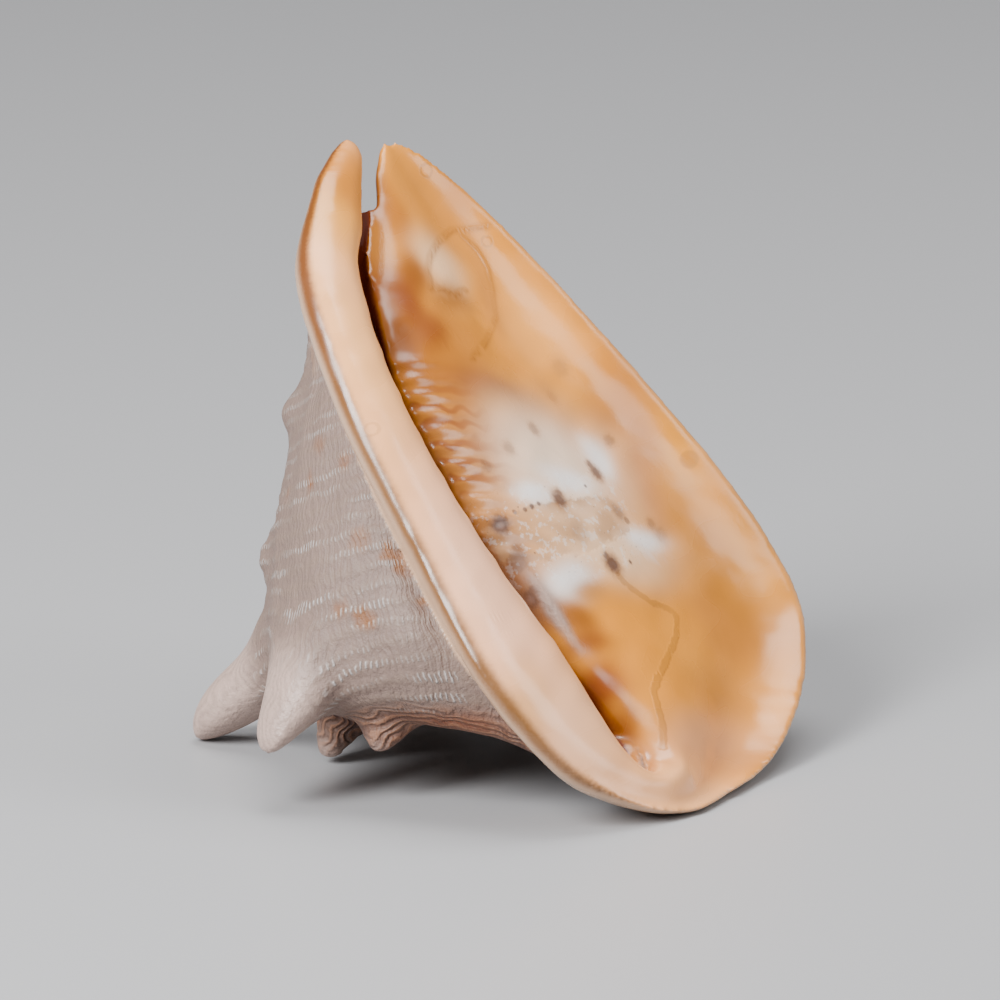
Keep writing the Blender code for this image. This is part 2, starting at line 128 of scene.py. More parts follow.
# The glazed face is a band bent like a U round the slit: down the outer lip, round behind the
# slit's end, and up the shield. Each row is one cross-section: the slit's edge (w, l), the outer
# rim (w, l), the rim's height and the kind of section, from 0 for the lip to 1 for the shield.
BAND = (
    (-6.5, 187.0, -1.0, 189.5, -3.0, 0.0),
    (-4.5, 180.5, 6.0, 183.5, -3.0, 0.0),
    (-0.5, 175.0, 14.0, 178.0, -2.5, 0.0),
    (3.5, 168.5, 21.0, 171.0, -2.5, 0.0),
    (8.0, 161.0, 28.0, 163.5, -2.0, 0.0),
    (16.0, 152.0, 35.5, 153.5, -1.5, 0.0),
    (21.5, 140.5, 40.5, 141.0, -1.0, 0.0),
    (25.5, 122.0, 44.5, 122.5, -0.5, 0.0),
    (26.5, 102.0, 46.5, 102.0, 0.0, 0.0),
    (23.5, 79.0, 45.5, 78.0, 0.0, 0.0),
    (18.5, 56.0, 44.0, 53.0, 0.0, 0.0),
    (13.0, 36.0, 43.0, 30.0, 1.0, 0.0),
    (9.0, 20.0, 36.5, 12.0, 1.0, 0.05),
    (5.0, 9.0, 28.0, 0.5, 0.0, 0.15),
    (1.0, 1.0, 17.0, -8.0, 0.0, 0.3),
    (-2.0, -2.5, 4.5, -14.5, 1.0, 0.5),
    (-5.5, -2.0, -10.0, -16.5, 2.0, 0.65),
    (-8.0, 1.0, -26.0, -12.5, 1.0, 0.8),
    (-7.5, 8.0, -46.0, -6.0, -1.0, 0.92),
    (-4.0, 19.0, -70.0, 10.0, -1.0, 1.0),
    (1.0, 33.0, -89.0, 31.0, -2.5, 1.0),
    (6.5, 50.0, -95.5, 50.0, -3.5, 1.0),
    (12.0, 70.0, -89.5, 71.0, -2.0, 1.0),
    (16.0, 93.0, -79.5, 94.5, -1.5, 1.0),
    (17.5, 115.0, -68.0, 117.0, -1.5, 1.0),
    (15.0, 135.0, -57.5, 138.0, -2.0, 1.0),
    (7.5, 151.0, -48.0, 156.5, -3.0, 1.0),
    (-1.0, 163.0, -39.0, 171.5, -4.0, 1.0),
    (-7.0, 174.5, -29.0, 182.0, -4.0, 1.0),
    (-13.0, 184.5, -21.0, 189.0, -4.0, 1.0),
)

# Cross-sections of the band: (share of the width, millimetres added, height over the rim).
LIP_SECTION = (
    (0.0, 3.0, -17.0),
    (0.0, 0.8, -11.0),
    (0.0, 0.0, -5.0),
    (0.0, 1.0, -1.4),
    (0.06, 2.8, 0.8),
    (0.28, 1.4, 1.8),
    (0.50, 0.6, 1.7),
    (0.72, 0.2, 0.8),
    (0.88, 0.0, -1.2),
    (0.975, 0.0, -3.6),
    (1.0, 0.0, -6.0),
    (0.96, 0.0, -8.2),
    (0.87, 0.0, -10.4),
    (0.70, 0.0, -12.6),
    (0.50, 0.0, -15.0),
    (0.26, 1.5, -17.5),
)
SHIELD_SECTION = (
    (0.0, 5.0, -18.0),
    (0.0, 1.0, -13.5),
    (0.0, 0.0, -9.0),
    (0.0, 1.4, -5.4),
    (0.04, 3.6, -2.8),
    (0.18, 2.0, -1.4),
    (0.36, 0.0, -2.0),
    (0.54, 0.0, -4.8),
    (0.70, 0.0, -7.4),
    (0.86, 0.0, -5.0),
    (0.95, 0.0, -1.2),
    (0.985, 0.0, -0.2),
    (1.0, 0.0, -2.2),
    (0.98, 0.0, -5.0),
    (0.88, 0.0, -9.8),
    (0.68, 0.0, -12.2),
    (0.36, 0.0, -14.6),
)
LIP_WIDTH = 22.0  # sections of narrower parts are thinner
SHIELD_WIDTH = 80.0
END_LENGTH = 8.0  # the two tips are rounded over this length
TIP_START = 148.0  # from here on the lip and the shield thin out towards their tips
TIP_END = 174.0
LIP_THINNING = 0.35
SHIELD_THINNING = 0.3

# Folds across the columella, and blunt teeth inside the outer lip.
FOLD_FIRST = 66.0
FOLD_LAST = 122.0
FOLD_PITCH = 5.2
FOLD_HEIGHT = 1.3
FOLD_REACH = 15.0
TOOTH_FIRST = 36.0
TOOTH_LAST = 128.0
TOOTH_PITCH = 12.5
TOOTH_HEIGHT = 2.2

# The hollow inside. Each row is one section across the coiling axis: where it leaves the face,
# the slit from w to w, the middle (w, n) of the hollow, its half width and half depth.
HOLLOW = (
    (-1.0, -2.5, 1.5, -0.5, -9.0, 3.0, 2.8),
    (6.0, -5.0, 4.0, 0.0, -9.8, 5.5, 3.8),
    (14.0, -4.5, 7.5, 2.5, -11.5, 7.0, 5.4),
    (24.0, -1.0, 11.0, 7.5, -15.0, 9.0, 8.5),
    (36.0, 3.0, 14.0, 16.0, -25.0, 16.0, 18.0),
    (56.0, 8.5, 19.5, 23.0, -33.0, 18.5, 25.0),
    (79.0, 13.5, 24.5, 25.0, -30.0, 15.0, 21.0),
    (102.0, 16.5, 27.5, 24.0, -21.0, 10.0, 12.5),
    (122.0, 16.5, 26.5, 20.0, -15.0, 7.0, 7.0),
    (139.5, 12.5, 22.5, 16.0, -11.5, 5.8, 5.0),
    (151.0, 6.5, 18.0, 12.0, -11.0, 6.0, 4.5),
    (162.5, -1.5, 8.5, 3.5, -10.5, 5.5, 4.5),
    (174.5, -8.0, 1.0, -3.5, -10.5, 5.0, 4.5),
    (184.5, -14.5, -5.5, -9.5, -10.5, 5.0, 4.5),
    (193.0, -18.0, -12.5, -15.0, -10.5, 5.0, 4.5),
)
HOLLOW_TOP = -4.6
HOLLOW_NECK = 0.55
SLIT_INSET = 1.8  # the cutter is this much narrower where the whorl's front is sunk
SLIT_SINK = 9.0  # how far the whorl's front is sunk below the slit
SLIT_MARGIN = 3.0

def unit(vector):
    vector = np.asarray(vector, float)
    return vector / np.linalg.norm(vector)


COIL = unit(COIL_AXIS)
ACROSS = unit(np.array([1.0, 0.0, 0.0]) - COIL[0] * COIL)
BACKWARD = np.cross(COIL, ACROSS)


def spline(knots, values, at):
    """A natural cubic spline through the rows of values at knots."""
    knots = np.asarray(knots, float)
    values = np.asarray(values, float)
    if values.ndim == 1:
        values = values[:, None]
    step = np.diff(knots)
    slope = np.diff(values, axis=0) / step[:, None]
    count = len(knots)
    system = np.eye(count)
    right = np.zeros_like(values)
    for i in range(1, count - 1):
        system[i, i - 1 : i + 2] = step[i - 1], 2 * (step[i - 1] + step[i]), step[i]
        right[i] = 3 * (slope[i] - slope[i - 1])
    bend = np.linalg.solve(system, right)
    at = np.asarray(at, float)
    i = np.clip(np.searchsorted(knots, at, side="right") - 1, 0, count - 2)
    x = (at - knots[i])[..., None]
    h = step[i][..., None]
    linear = slope[i] - h * (2 * bend[i] + bend[i + 1]) / 3
    return values[i] + x * (linear + x * (bend[i] + x * (bend[i + 1] - bend[i]) / (3 * h)))


def ease(x, low, high):
    t = np.clip((x - low) / (high - low), 0.0, 1.0)
    return t * t * (3 - 2 * t)


def stations(*paths):
    """Shares of the mean length of the paths at their points, from 0 to 1."""
    length = sum(np.linalg.norm(np.diff(path, axis=0), axis=1) for path in paths)
    return np.concatenate([[0], np.cumsum(length)]) / length.sum()


def growth(angle):
    """Size of the whorl at an angle, against its size at PROFILE_ANGLE."""
    full = WHORL_GROWTH ** ((PROFILE_ANGLE - angle) / 360)
    lip = WHORL_GROWTH ** ((PROFILE_ANGLE - LIP_ANGLE) / 360)
    seam = ease(angle, SEAM_START, LIP_ANGLE + 360)
    return full * (1 - seam) + lip * seam


def turned(a, b):
    """Difference of two angles, in degrees from -180 to 180."""
    return (a - b + 180) % 360 - 180


def outward(angle):
    """Direction away from the coiling axis at an angle."""
    a = np.radians(angle)[..., None]
    return np.cos(a) * ACROSS + np.sin(a) * BACKWARD


def smooth_whorl(angle, t):
    """The whorl without horns: a point, its distance along the axis and from its middle."""
    rows = np.array(PROFILE)
    shape = spline(stations(rows[:, [0, 3]]), rows, t)
    z0, side, push, radius, follows = np.moveaxis(shape, -1, 0)
    radius = np.maximum(radius, 0.0)
    size = 1 + (growth(angle) - 1) * follows
    z = rows[0, 0] + (z0 - rows[0, 0]) * size
    r = radius * size
    waist = np.exp(-((turned(angle, WAIST_ANGLE) / WAIST_REACH) ** 2))
    r = r - WAIST_DEPTH * waist * ease(radius, 20, 36)
    away = outward(angle)
    point = np.array(COIL_POINT) + z[..., None] * COIL + r[..., None] * away
    point = point + side[..., None] * ACROSS + push[..., None] * BACKWARD
    wall = np.exp(-((turned(angle, WALL_ANGLE) / WALL_REACH) ** 2))
    end = np.exp(-((turned(angle, WALL_ANGLE - 7) / 32) ** 2))
    keel = (z0 + 1 - 9 * end) / (15 + 7 * end)
    back = wall * ease(radius, 24, 42) * (1 - ease(keel, 0, 1))
    back = back + 0.2 * wall * ease(z0, -1, 8) * (1 - ease(z0, 12, 40))
    point = point + back[..., None] * (WALL_SPREAD * away - WALL_DROP * COIL)
    return point, z, r


def horn_root(angle, z):
    t = np.linspace(0, 1, 1201)
    point, along, radius = smooth_whorl(np.full_like(t, angle), t)
    best = np.argmin(np.abs(along - z))
    return point[best], radius[best]


def whorl_points(angle, t):
    """Points of the last whorl and the spire, in the shell's frame."""
    smooth, z, r = smooth_whorl(angle, t)
    point = smooth.copy()
    away = outward(angle)
    for horn_angle, tip, reach, root, shaft, foot in HORNS:
        base, base_radius = horn_root(horn_angle, root)
        across = np.radians(turned(angle, horn_angle)) * np.maximum(r, 0.6 * base_radius)
        along = np.where(z < root, HORN_HEEL * (z - root), z - root)
        if root < OLD_WHORL:
            along = np.hypot(along, r - base_radius)
        far = across**2 + along**2
        rise = 0.8 * np.exp(-((far / shaft**2) ** 1.5)) + 0.2 * np.exp(-far / foot**2)
        aim = np.array(COIL_POINT) + tip * COIL + reach * outward(np.array(horn_angle)) - base
        point = point + rise[..., None] * aim
    for row, height, reach, angles in KNOB_ROWS:
        for knob_angle in angles:
            size = 1 + 0.9 * (growth(np.array(knob_angle)) - 1)
            across = np.radians(turned(angle, knob_angle)) * np.maximum(r, 15.0)
            far = across**2 + (1.15 * (z - row * size)) ** 2
            point = point + (height * np.exp(-far / reach**2))[..., None] * away
    cap = CAP_HEIGHT - CAP_FALL * (point[..., 0] - CAP_MIDDLE) ** 2
    cap = cap - SLIT_SINK * below_slit(point[..., 0], point[..., 1])
    over = (point[..., 2] - cap) / CAP_SOFTNESS
    point[..., 2] = cap - CAP_SOFTNESS * np.logaddexp(0.0, -over)
    return point


def sunk(l):
    """From 0 to 1, how far the whorl's front is sunk at l."""
    return ease(l, 4, 20) * (1 - ease(l, 128, 150))


def below_slit(w, l):
    """From 0 to 1, how far the whorl's front is sunk at (w, l)."""
    rows = np.array(HOLLOW)
    edges = spline(rows[:, 0], rows[:, 1:3], np.clip(l, rows[0, 0], rows[-1, 0]))
    middle = edges.mean(axis=-1)
    half = (edges[..., 1] - edges[..., 0]) / 2 + SLIT_MARGIN
    return sunk(l) * np.exp(-(((w - middle) / half) ** 4))


def closed_spline(points, count):
    """A closed smooth curve through points."""
    tripled = np.concatenate([points, points, points])
    at = np.arange(count) * len(points) / count + len(points)
    return spline(np.arange(len(tripled)), tripled, at)


def bumps(x, first, last, pitch):
    """Rounded ridges one pitch apart between first and last."""
    wave = 0.5 + 0.5 * np.cos(2 * math.pi * (x - first) / pitch)
    return wave**2 * ease(x, first - pitch, first) * (1 - ease(x, last, last + pitch))


def band_points(along, around):
    """Rings of points of the lip and the shield, in the shell's frame."""
    rows = np.array(BAND)
    place = stations(rows[:, :2], rows[:, 2:4])
    s = np.linspace(0, 1, along)
    row = spline(place, rows, s)
    kind = np.clip(row[:, 5:6], 0, 1)
    inner, outer = row[:, None, :2], row[:, None, 2:4]
    width = np.linalg.norm(outer - inner, axis=2)
    out = (outer - inner) / width[..., None]
    lip = closed_spline(np.array(LIP_SECTION), around)[None]
    shield = closed_spline(np.array(SHIELD_SECTION), around)[None]
    share, added, height = np.moveaxis(lip * (1 - kind[..., None]) + shield * kind[..., None], -1, 0)
    narrow = np.clip(width / LIP_WIDTH, 0.0, 1.0)
    flat = 0.4 + 0.5 * ease(inner[..., 1], 110, 160)
    depth = 1 - kind * (1 - np.clip(1 - flat * (1 - width / SHIELD_WIDTH), 0.0, 1.0))
    x = share * width + added * narrow
    height = height * np.where(height > -10, depth, 1) - np.where(height > -10, 0, 10 * (depth - 1))
    height = height * (0.5 + 0.5 * narrow)
    tip = ease(inner[..., 1], TIP_START, TIP_END)
    height = height * (1 - tip * (LIP_THINNING * (1 - kind) + SHIELD_THINNING * kind))
    x = x + tip * kind * np.maximum(-height - 1.5, 0.0) * (1 - ease(share, 0.1, 0.6))
    point = np.empty(x.shape + (3,))
    point[..., :2] = inner + out * x[..., None]
    point[..., 2] = row[:, 4:5] + height
    on_shield = kind * np.exp(-((x / FOLD_REACH) ** 2)) * ease(height, -16, -8)
    fold = bumps(point[..., 1] + 0.25 * x, FOLD_FIRST, FOLD_LAST, FOLD_PITCH)
    point[..., 2] += FOLD_HEIGHT * on_shield * (fold - 0.4)
    in_slit = (1 - kind) * np.exp(-((x / 3.0) ** 2)) * np.exp(-(((height + 5) / 4.0) ** 2))
    tooth = bumps(point[..., 1], TOOTH_FIRST, TOOTH_LAST, TOOTH_PITCH)
    point[..., :2] -= out * (TOOTH_HEIGHT * in_slit * tooth)[..., None]
    return rounded_ends(point)


def rounded_ends(rings):
    """Draws the first and last rings together, so that the band ends in blunt tips."""
    middle = rings.mean(axis=1, keepdims=True)
    step = np.linalg.norm(np.diff(middle[:, 0], axis=0), axis=1)
    way = np.concatenate([[0], np.cumsum(step)])
    left = np.minimum(way, way[-1] - way) + 0.05
    keep = np.sqrt(1 - np.clip(1 - left / END_LENGTH, 0, 1) ** 2)[:, None, None]
    return middle + (rings - middle) * keep


def hollow_points(along, around):
    """Rings of points of the slit and the hollow behind it, one ring for each l."""
    rows = np.array(HOLLOW)
    row = spline(rows[:, 0], rows, np.linspace(rows[0, 0], rows[-1, 0], along))
    l, slit_low, slit_high, w, n, half_width, half_depth = row.T[:, :, None]
    a = np.linspace(0.5 * math.pi + HOLLOW_NECK, 2.5 * math.pi - HOLLOW_NECK, around - 4)[None]
    belly_w = w + half_width * np.cos(a)
    belly_n = n + half_depth * np.sin(a)
    neck = np.minimum(n + half_depth * math.cos(HOLLOW_NECK) + 1, HOLLOW_TOP - 0.8)
    top = np.full_like(l, HOLLOW_TOP)
    inset = SLIT_INSET * sunk(l)
    low, high = slit_low + inset, slit_high - inset
    ring_w = np.concatenate([low, low, belly_w, high, high], axis=1)
    ring_n = np.concatenate([top, neck, belly_n, neck, top], axis=1)
    tilt = (ring_w - slit_low) * COIL[0] + np.minimum(ring_n, 0) * COIL[2]
    return np.stack([ring_w, l - tilt / COIL[1], ring_n], axis=-1)


# How finely the surfaces are drawn before they become one skin.
WHORL_STEPS = (300, 150)
BAND_STEPS = (360, 64)
HOLLOW_STEPS = (80, 34)
SKIN_CELL = 0.95
SKIN_SMOOTHING = 6
SKIN_KEPT = 0.69  # share of the triangles that stay
RAGGED_FROM = 0.10  # a vertex this far in mm from the middle of its neighbours is ragged
RAGGED_SPREAD = 9  # rings of neighbours that are smoothed with it
RAGGED_ROUNDS = 5


def room_turn():
    w, n = unit(LIP_AXIS), unit(FACE_AXIS)
    return np.array([w, np.cross(w, n), n])


def to_room(points):
    return (points @ room_turn() + np.array(FRAME_START)) * MM


def to_shell(points):
    return (points / MM - np.array(FRAME_START)) @ np.linalg.inv(room_turn())


def closed_mesh(name, rings):
    """A closed mesh from rings of points in the shell's frame, with a cap at each end."""
    count, around = rings.shape[:2]
    ends = rings[[0, -1]].mean(axis=1)
    verts = to_room(np.concatenate([rings.reshape(-1, 3), ends]))
    faces = []
    for k in range(count - 1):
        a = k * around
        for i in range(around):
            j = (i + 1) % around
            faces.append((a + i, a + j, a + around + j, a + around + i))
    for row, tip in ((0, count * around), ((count - 1) * around, count * around + 1)):
        faces += [(row + i, row + (i + 1) % around, tip) for i in range(around)]
    mesh = bpy.data.meshes.new(name)
    mesh.from_pydata(verts.tolist(), [], faces)
    tool = bmesh.new()
    tool.from_mesh(mesh)
    bmesh.ops.recalc_face_normals(tool, faces=tool.faces)
    tool.to_mesh(mesh)
    tool.free()
    made = bpy.data.objects.new(name, mesh)
    bpy.context.scene.collection.objects.link(made)
    return made


def whorl_rings():
    angle = LIP_ANGLE + 360 * np.arange(WHORL_STEPS[0]) / WHORL_STEPS[0]
    t = np.linspace(0.006, 0.996, WHORL_STEPS[1])
    grid_t, grid_angle = np.meshgrid(t, angle, indexing="ij")
    return whorl_points(grid_angle, grid_t)


def one_skin(whorl, band, hollow):
    """The whorl and the band joined, less the hollow, as one even mesh."""
    shell = closed_mesh("whorl", whorl)
    others = [closed_mesh("band", band), closed_mesh("hollow", hollow)]
    for other, operation in zip(others, ("UNION", "DIFFERENCE")):
        step = shell.modifiers.new(other.name, "BOOLEAN")
        step.object = other
        step.operation = operation
        step.solver = "EXACT"
    skin = shell.modifiers.new("skin", "REMESH")
    skin.mode = "VOXEL"
    skin.voxel_size = SKIN_CELL * MM
    smooth = shell.modifiers.new("smooth", "SMOOTH")
    smooth.factor = 0.5
    smooth.iterations = SKIN_SMOOTHING
    seen = bpy.context.evaluated_depsgraph_get()
    fine = bpy.data.meshes.new_from_object(shell.evaluated_get(seen))
    smooth_ragged(fine)
    even = bpy.data.objects.new("even", fine)
    bpy.context.scene.collection.objects.link(even)
    fewer = even.modifiers.new("fewer", "DECIMATE")
    fewer.ratio = SKIN_KEPT
    seen = bpy.context.evaluated_depsgraph_get()
    mesh = bpy.data.meshes.new_from_object(even.evaluated_get(seen))
    for old in [shell, *others, even]:
        bpy.data.objects.remove(old)
    return mesh


def smooth_ragged(mesh):
    """Evens out thin edges that the even mesh left ragged."""
    count = len(mesh.vertices)
    flat = np.empty(count * 3)
    mesh.vertices.foreach_get("co", flat)
    point = flat.reshape(-1, 3)
    ends = np.empty(len(mesh.edges) * 2, int)
    mesh.edges.foreach_get("vertices", ends)
    a, b = ends.reshape(-1, 2).T
    near = np.bincount(a, minlength=count) + np.bincount(b, minlength=count)

    def of_neighbours(values):
        return (np.bincount(a, values[b], count) + np.bincount(b, values[a], count)) / near

    def away():
        return np.stack([of_neighbours(point[:, k]) for k in range(3)], 1) - point

    moved = (np.linalg.norm(away(), axis=1) > RAGGED_FROM * MM).astype(float)
    for _ in range(RAGGED_SPREAD):
        moved = np.clip(3 * of_neighbours(moved), 0, 1)
    for _ in range(RAGGED_ROUNDS):
        point += 0.5 * moved[:, None] * away()
    mesh.vertices.foreach_set("co", point.ravel())
    mesh.update()


def soft(x, low, high):
    return ease(np.asarray(x, float), low, high)


def polygons(count, around):
    k, i = np.meshgrid(np.arange(count - 1), np.arange(around), indexing="ij")
    j = (i + 1) % around
    quads = np.stack([k * around + i, k * around + j, (k + 1) * around + j, (k + 1) * around + i], -1)
    return quads.reshape(-1, 4).tolist()


def away_from(rings, points):
    """Distance of each point from the surface through the rings."""
    tree = BVHTree.FromPolygons(rings.reshape(-1, 3).tolist(), polygons(*rings.shape[:2]))
    return np.array([tree.find_nearest(Vector(p))[3] for p in points])


def carried(places, values, points):
    """Values at the nearest places, blended over those of the four nearest that belong together."""
    tree = KDTree(len(places))
    for i, place in enumerate(places):
        tree.insert(place, i)
    tree.balance()
    out = np.empty((len(points), values.shape[1]))
    for i, point in enumerate(points):
        near = tree.find_n(point, 4)
        rows = values[[n[1] for n in near]]
        weight = np.array([1 / (n[2] ** 2 + 0.02) for n in near])
        weight = weight * (abs(rows[:, 1] - rows[0, 1]) < 0.5)
        out[i] = weight @ rows / weight.sum()
    return out


def tint(colour):
    """A colour as an array."""
    return np.array(colour, float)


def patch(w, l, row):
    """How much of a soft patch shows at (w, l)."""
    cw, cl, half_w, half_l, turn, strength = row[:6]
    a = math.radians(turn)
    dw, dl = w - cw, l - cl
    x = (dw * math.cos(a) + dl * math.sin(a)) / half_w
    y = (dl * math.cos(a) - dw * math.sin(a)) / half_l
    return strength * np.exp(-((x * x + y * y) ** 1.4))


def way_to(path, w, l):
    """Distance in the (w, l) plane to a line through the points of a path."""
    best = np.full(w.shape, 1e3)
    for (w0, l0), (w1, l1) in zip(path, path[1:]):
        dw, dl = w1 - w0, l1 - l0
        share = np.clip(((w - w0) * dw + (l - l0) * dl) / (dw * dw + dl * dl), 0, 1)
        best = np.minimum(best, np.hypot(w - w0 - share * dw, l - l0 - share * dl))
    return best


def rough(points, size, seed):
    """Soft unevenness between -1 and 1, about size millimetres from crest to crest."""
    draw = np.random.default_rng(seed)
    total = np.zeros(len(points))
    for _ in range(7):
        way = draw.normal(size=3)
        way *= draw.uniform(0.7, 1.4) * 2 * math.pi / size / np.linalg.norm(way)
        total += np.sin(points @ way + draw.uniform(0, 6.28))
    return total / 3.2


# Soft patches of the shield: middle (w, l), half sizes, turn in degrees, strength, colour.
SHIELD_PATCHES = (
    (-30, 168, 18, 16, 0, 0.6, (0.66, 0.24, 0.029)),
    (-38, 174, 5, 12, 20, 0.6, (0.48, 0.15, 0.004)),
    (-8, 165, 5, 22, 0, 0.8, (0.44, 0.13, 0.004)),
    (-43, 130, 14, 16, 0, 0.8, (0.93, 0.37, 0.067)),
    (-62, 110, 7, 26, 25, 0.7, (0.61, 0.2, 0.004)),
    (-74, 84, 7, 26, 15, 0.7, (0.85, 0.32, 0.004)),
    (-62, 88, 7, 24, 10, 0.85, (0.44, 0.13, 0.004)),
    (-70, 68, 9, 20, 0, 0.8, (0.45, 0.15, 0.004)),
    (-86, 58, 8, 16, 0, 0.7, (0.67, 0.25, 0.004)),
    (-45, 110, 10, 7, 0, 0.7, (0.68, 0.24, 0.006)),
    (-55, 104, 6, 6, 0, 0.6, (0.44, 0.14, 0.004)),
    # The next three darker patches, in the valley inside the rim, hold painted shade of that hollow as well
    # as the glaze's own darker tan.
    (-70, 38, 17, 15, 0, 0.75, (0.35, 0.12, 0.014)),
    (-76, 50, 8, 14, 0, 0.5, (0.37, 0.13, 0.005)),
    (-50, 22, 16, 10, 0, 0.6, (0.39, 0.15, 0.03)),
    (-83, 30, 6, 16, 12, 0.6, (0.56, 0.22, 0.049)),
    (-30, 4, 26, 9, -10, 0.8, (0.71, 0.32, 0.15)),
    (-8, -10, 26, 8, 0, 0.8, (0.92, 0.46, 0.22)),
    (-46, -1, 16, 5, -15, 0.6, (0.51, 0.2, 0.056)),
    (-30, 42, 22, 16, 0, 0.85, (0.73, 0.25, 0.004)),
    (-45, 34, 14, 14, 0, 0.5, (0.81, 0.31, 0.025)),
    (4, 118, 20, 15, 0, 0.85, (0.4, 0.12, 0.004)),
    (8, 97, 15, 16, 0, 0.9, (0.43, 0.13, 0.004)),
    (-10, 112, 18, 5, 12, 0.8, (0.3, 0.079, 0.004)),
    (-18, 105, 14, 5, 12, 0.7, (0.58, 0.21, 0.004)),
    (-17, 149, 10, 10, 30, 0.9, (0.93, 0.56, 0.3)),
    (-34, 143, 3.5, 15, 10, 0.7, (0.58, 0.21, 0.029)),
    (-14, 139, 10, 4.5, 0, 0.8, (0.35, 0.11, 0.005)),
    (-12, 128, 8, 6, 0, 0.7, (0.56, 0.19, 0.014)),
    (8, 136, 7, 15, 0, 0.8, (0.33, 0.092, 0.004)),
    (-2, 147, 5, 7, 30, 0.9, (0.26, 0.07, 0.004)),
    (4, 140, 5.5, 9, 0, 0.9, (0.22, 0.045, 0.004)),
    (0.5, 131, 8, 5.5, -20, 0.95, (0.27, 0.066, 0.004)),
    (12, 128, 4, 12, 0, 0.7, (0.15, 0.033, 0.004)),
    (-24, 88, 30, 19, 6, 0.98, (0.93, 0.68, 0.5)),
    (-30, 64, 28, 11, 6, 0.95, (0.93, 0.6, 0.36)),
    (8, 62, 8, 15, 0, 0.85, (0.26, 0.097, 0.045)),
    (3, 51, 8, 8, 0, 0.8, (0.19, 0.07, 0.04)),
    (-9, 80, 7, 3.4, 8, 0.9, (0.93, 0.87, 0.84)),
    (-26, 84, 12, 3.4, 12, 0.9, (0.93, 0.87, 0.84)),
    (-46, 91, 6, 6, 0, 0.95, (0.93, 0.87, 0.84)),
    (-9, 55, 9, 6, 0, 0.95, (0.93, 0.87, 0.84)),
    (-49, 65.5, 9, 3.6, 0, 0.95, (0.93, 0.87, 0.84)),
    (-15, 51, 7, 3.5, 0, 0.8, (0.48, 0.17, 0.004)),
    (-6, 45, 7.5, 4.6, 20, 0.95, (0.34, 0.1, 0.004)),
    (-6, 37, 7, 5, 0, 0.95, (0.31, 0.082, 0.004)),
    (-5, 24.5, 8.5, 5.5, -10, 1, (0.30, 0.066, 0.004)),
    (-6, 12, 3.5, 8, 10, 0.8, (0.35, 0.099, 0.004)),
)
SHIELD_COLOUR = (0.73, 0.26, 0.015)

# Soft patches of the lip, the same way.
LIP_PATCHES = (
    (10, 176, 17, 20, 0, 0.95, (0.55, 0.18, 0.004)),
    (22, 166, 9, 18, 0, 0.6, (0.76, 0.3, 0.006)),
    (34, 120, 9, 26, 0, 0.5, (0.93, 0.44, 0.14)),
    (32, 50, 14, 40, 0, 0.7, (0.93, 0.52, 0.35)),
    (20, 12, 16, 14, 0, 0.6, (0.88, 0.48, 0.27)),
    (34, 20, 7, 12, 20, 0.5, (0.64, 0.29, 0.073)),
)
LIP_COLOUR = (0.89, 0.41, 0.17)
LIP_EDGE_COLOUR = (0.17, 0.07, 0.018)
LIP_EDGE_DEEP = (0.13, 0.034, 0.004)
SHIELD_RIM_COLOUR = (0.46, 0.16, 0.007)
# Red-brown of the slit's walls, and the near black of the painted shade they turn to deeper in.
SLIT_COLOUR = (0.22, 0.033, 0.004)
SLIT_SHADE_COLOUR = (0.072, 0.004, 0.004)
BACK_OF_LIP = (0.56, 0.35, 0.22)
# The whorl's colour is darkened by painted shade; the horns' colour is the same shell where lit.
WHORL_COLOUR_IN_SHADE = (0.22, 0.15, 0.118)
HORN_COLOUR = (0.45, 0.32, 0.27)
BLOTCH_COLOUR = (0.22, 0.07, 0.002)
SPIRE_SIDE_COLOUR = (0.11, 0.04, 0.02)
SPIRE_SIDE_DEEP = (0.051, 0.007, 0.004)
SPIRE_SIDE_ORANGE = (0.21, 0.045, 0.004)

# The worn plate between the white patches, and the thin marks: a drip of darker glaze, and lines round the
# lens-shaped fold along which painted shade is drawn.
WORN_PLATE = ((12, 75), (-7, 76.5), (-42, 83.5), (-45, 68), (-21, 62), (-3, 61), (10, 63))
WORN_PLATE_COLOUR = (0.53, 0.28, 0.13)
DRIP_LINE = (
    (-28.7, 55.7), (-31.9, 51.9), (-38.1, 47.7), (-44.9, 46.1), (-48.2, 44.1), (-42.3, 37.1),
    (-32.6, 30.5), (-23.3, 24.2), (-18.6, 20.5), (-17.3, 15.4), (-15.9, 9.6), (-12.3, 4.0),
)
LENS_LINE = (
    (-8.1, 143.3), (-9.0, 147.0), (-13.4, 151.8), (-22.1, 157.1), (-30.9, 160.6), (-36.4, 160.4),
    (-41.5, 159.8),
)
CRESCENT_LINE = (
    (-33.5, 159.0), (-36.9, 154.5), (-38.1, 149.3), (-36.9, 142.8), (-33.5, 134.7), (-20.5, 126.0),
    (-9.1, 120.2),
)
LENS_FOOT = ((-6.2, 141.6), (-11.0, 141.9), (-13.5, 141.0), (-16.5, 139.9), (-20.0, 141.4), (-24.0, 142.3))

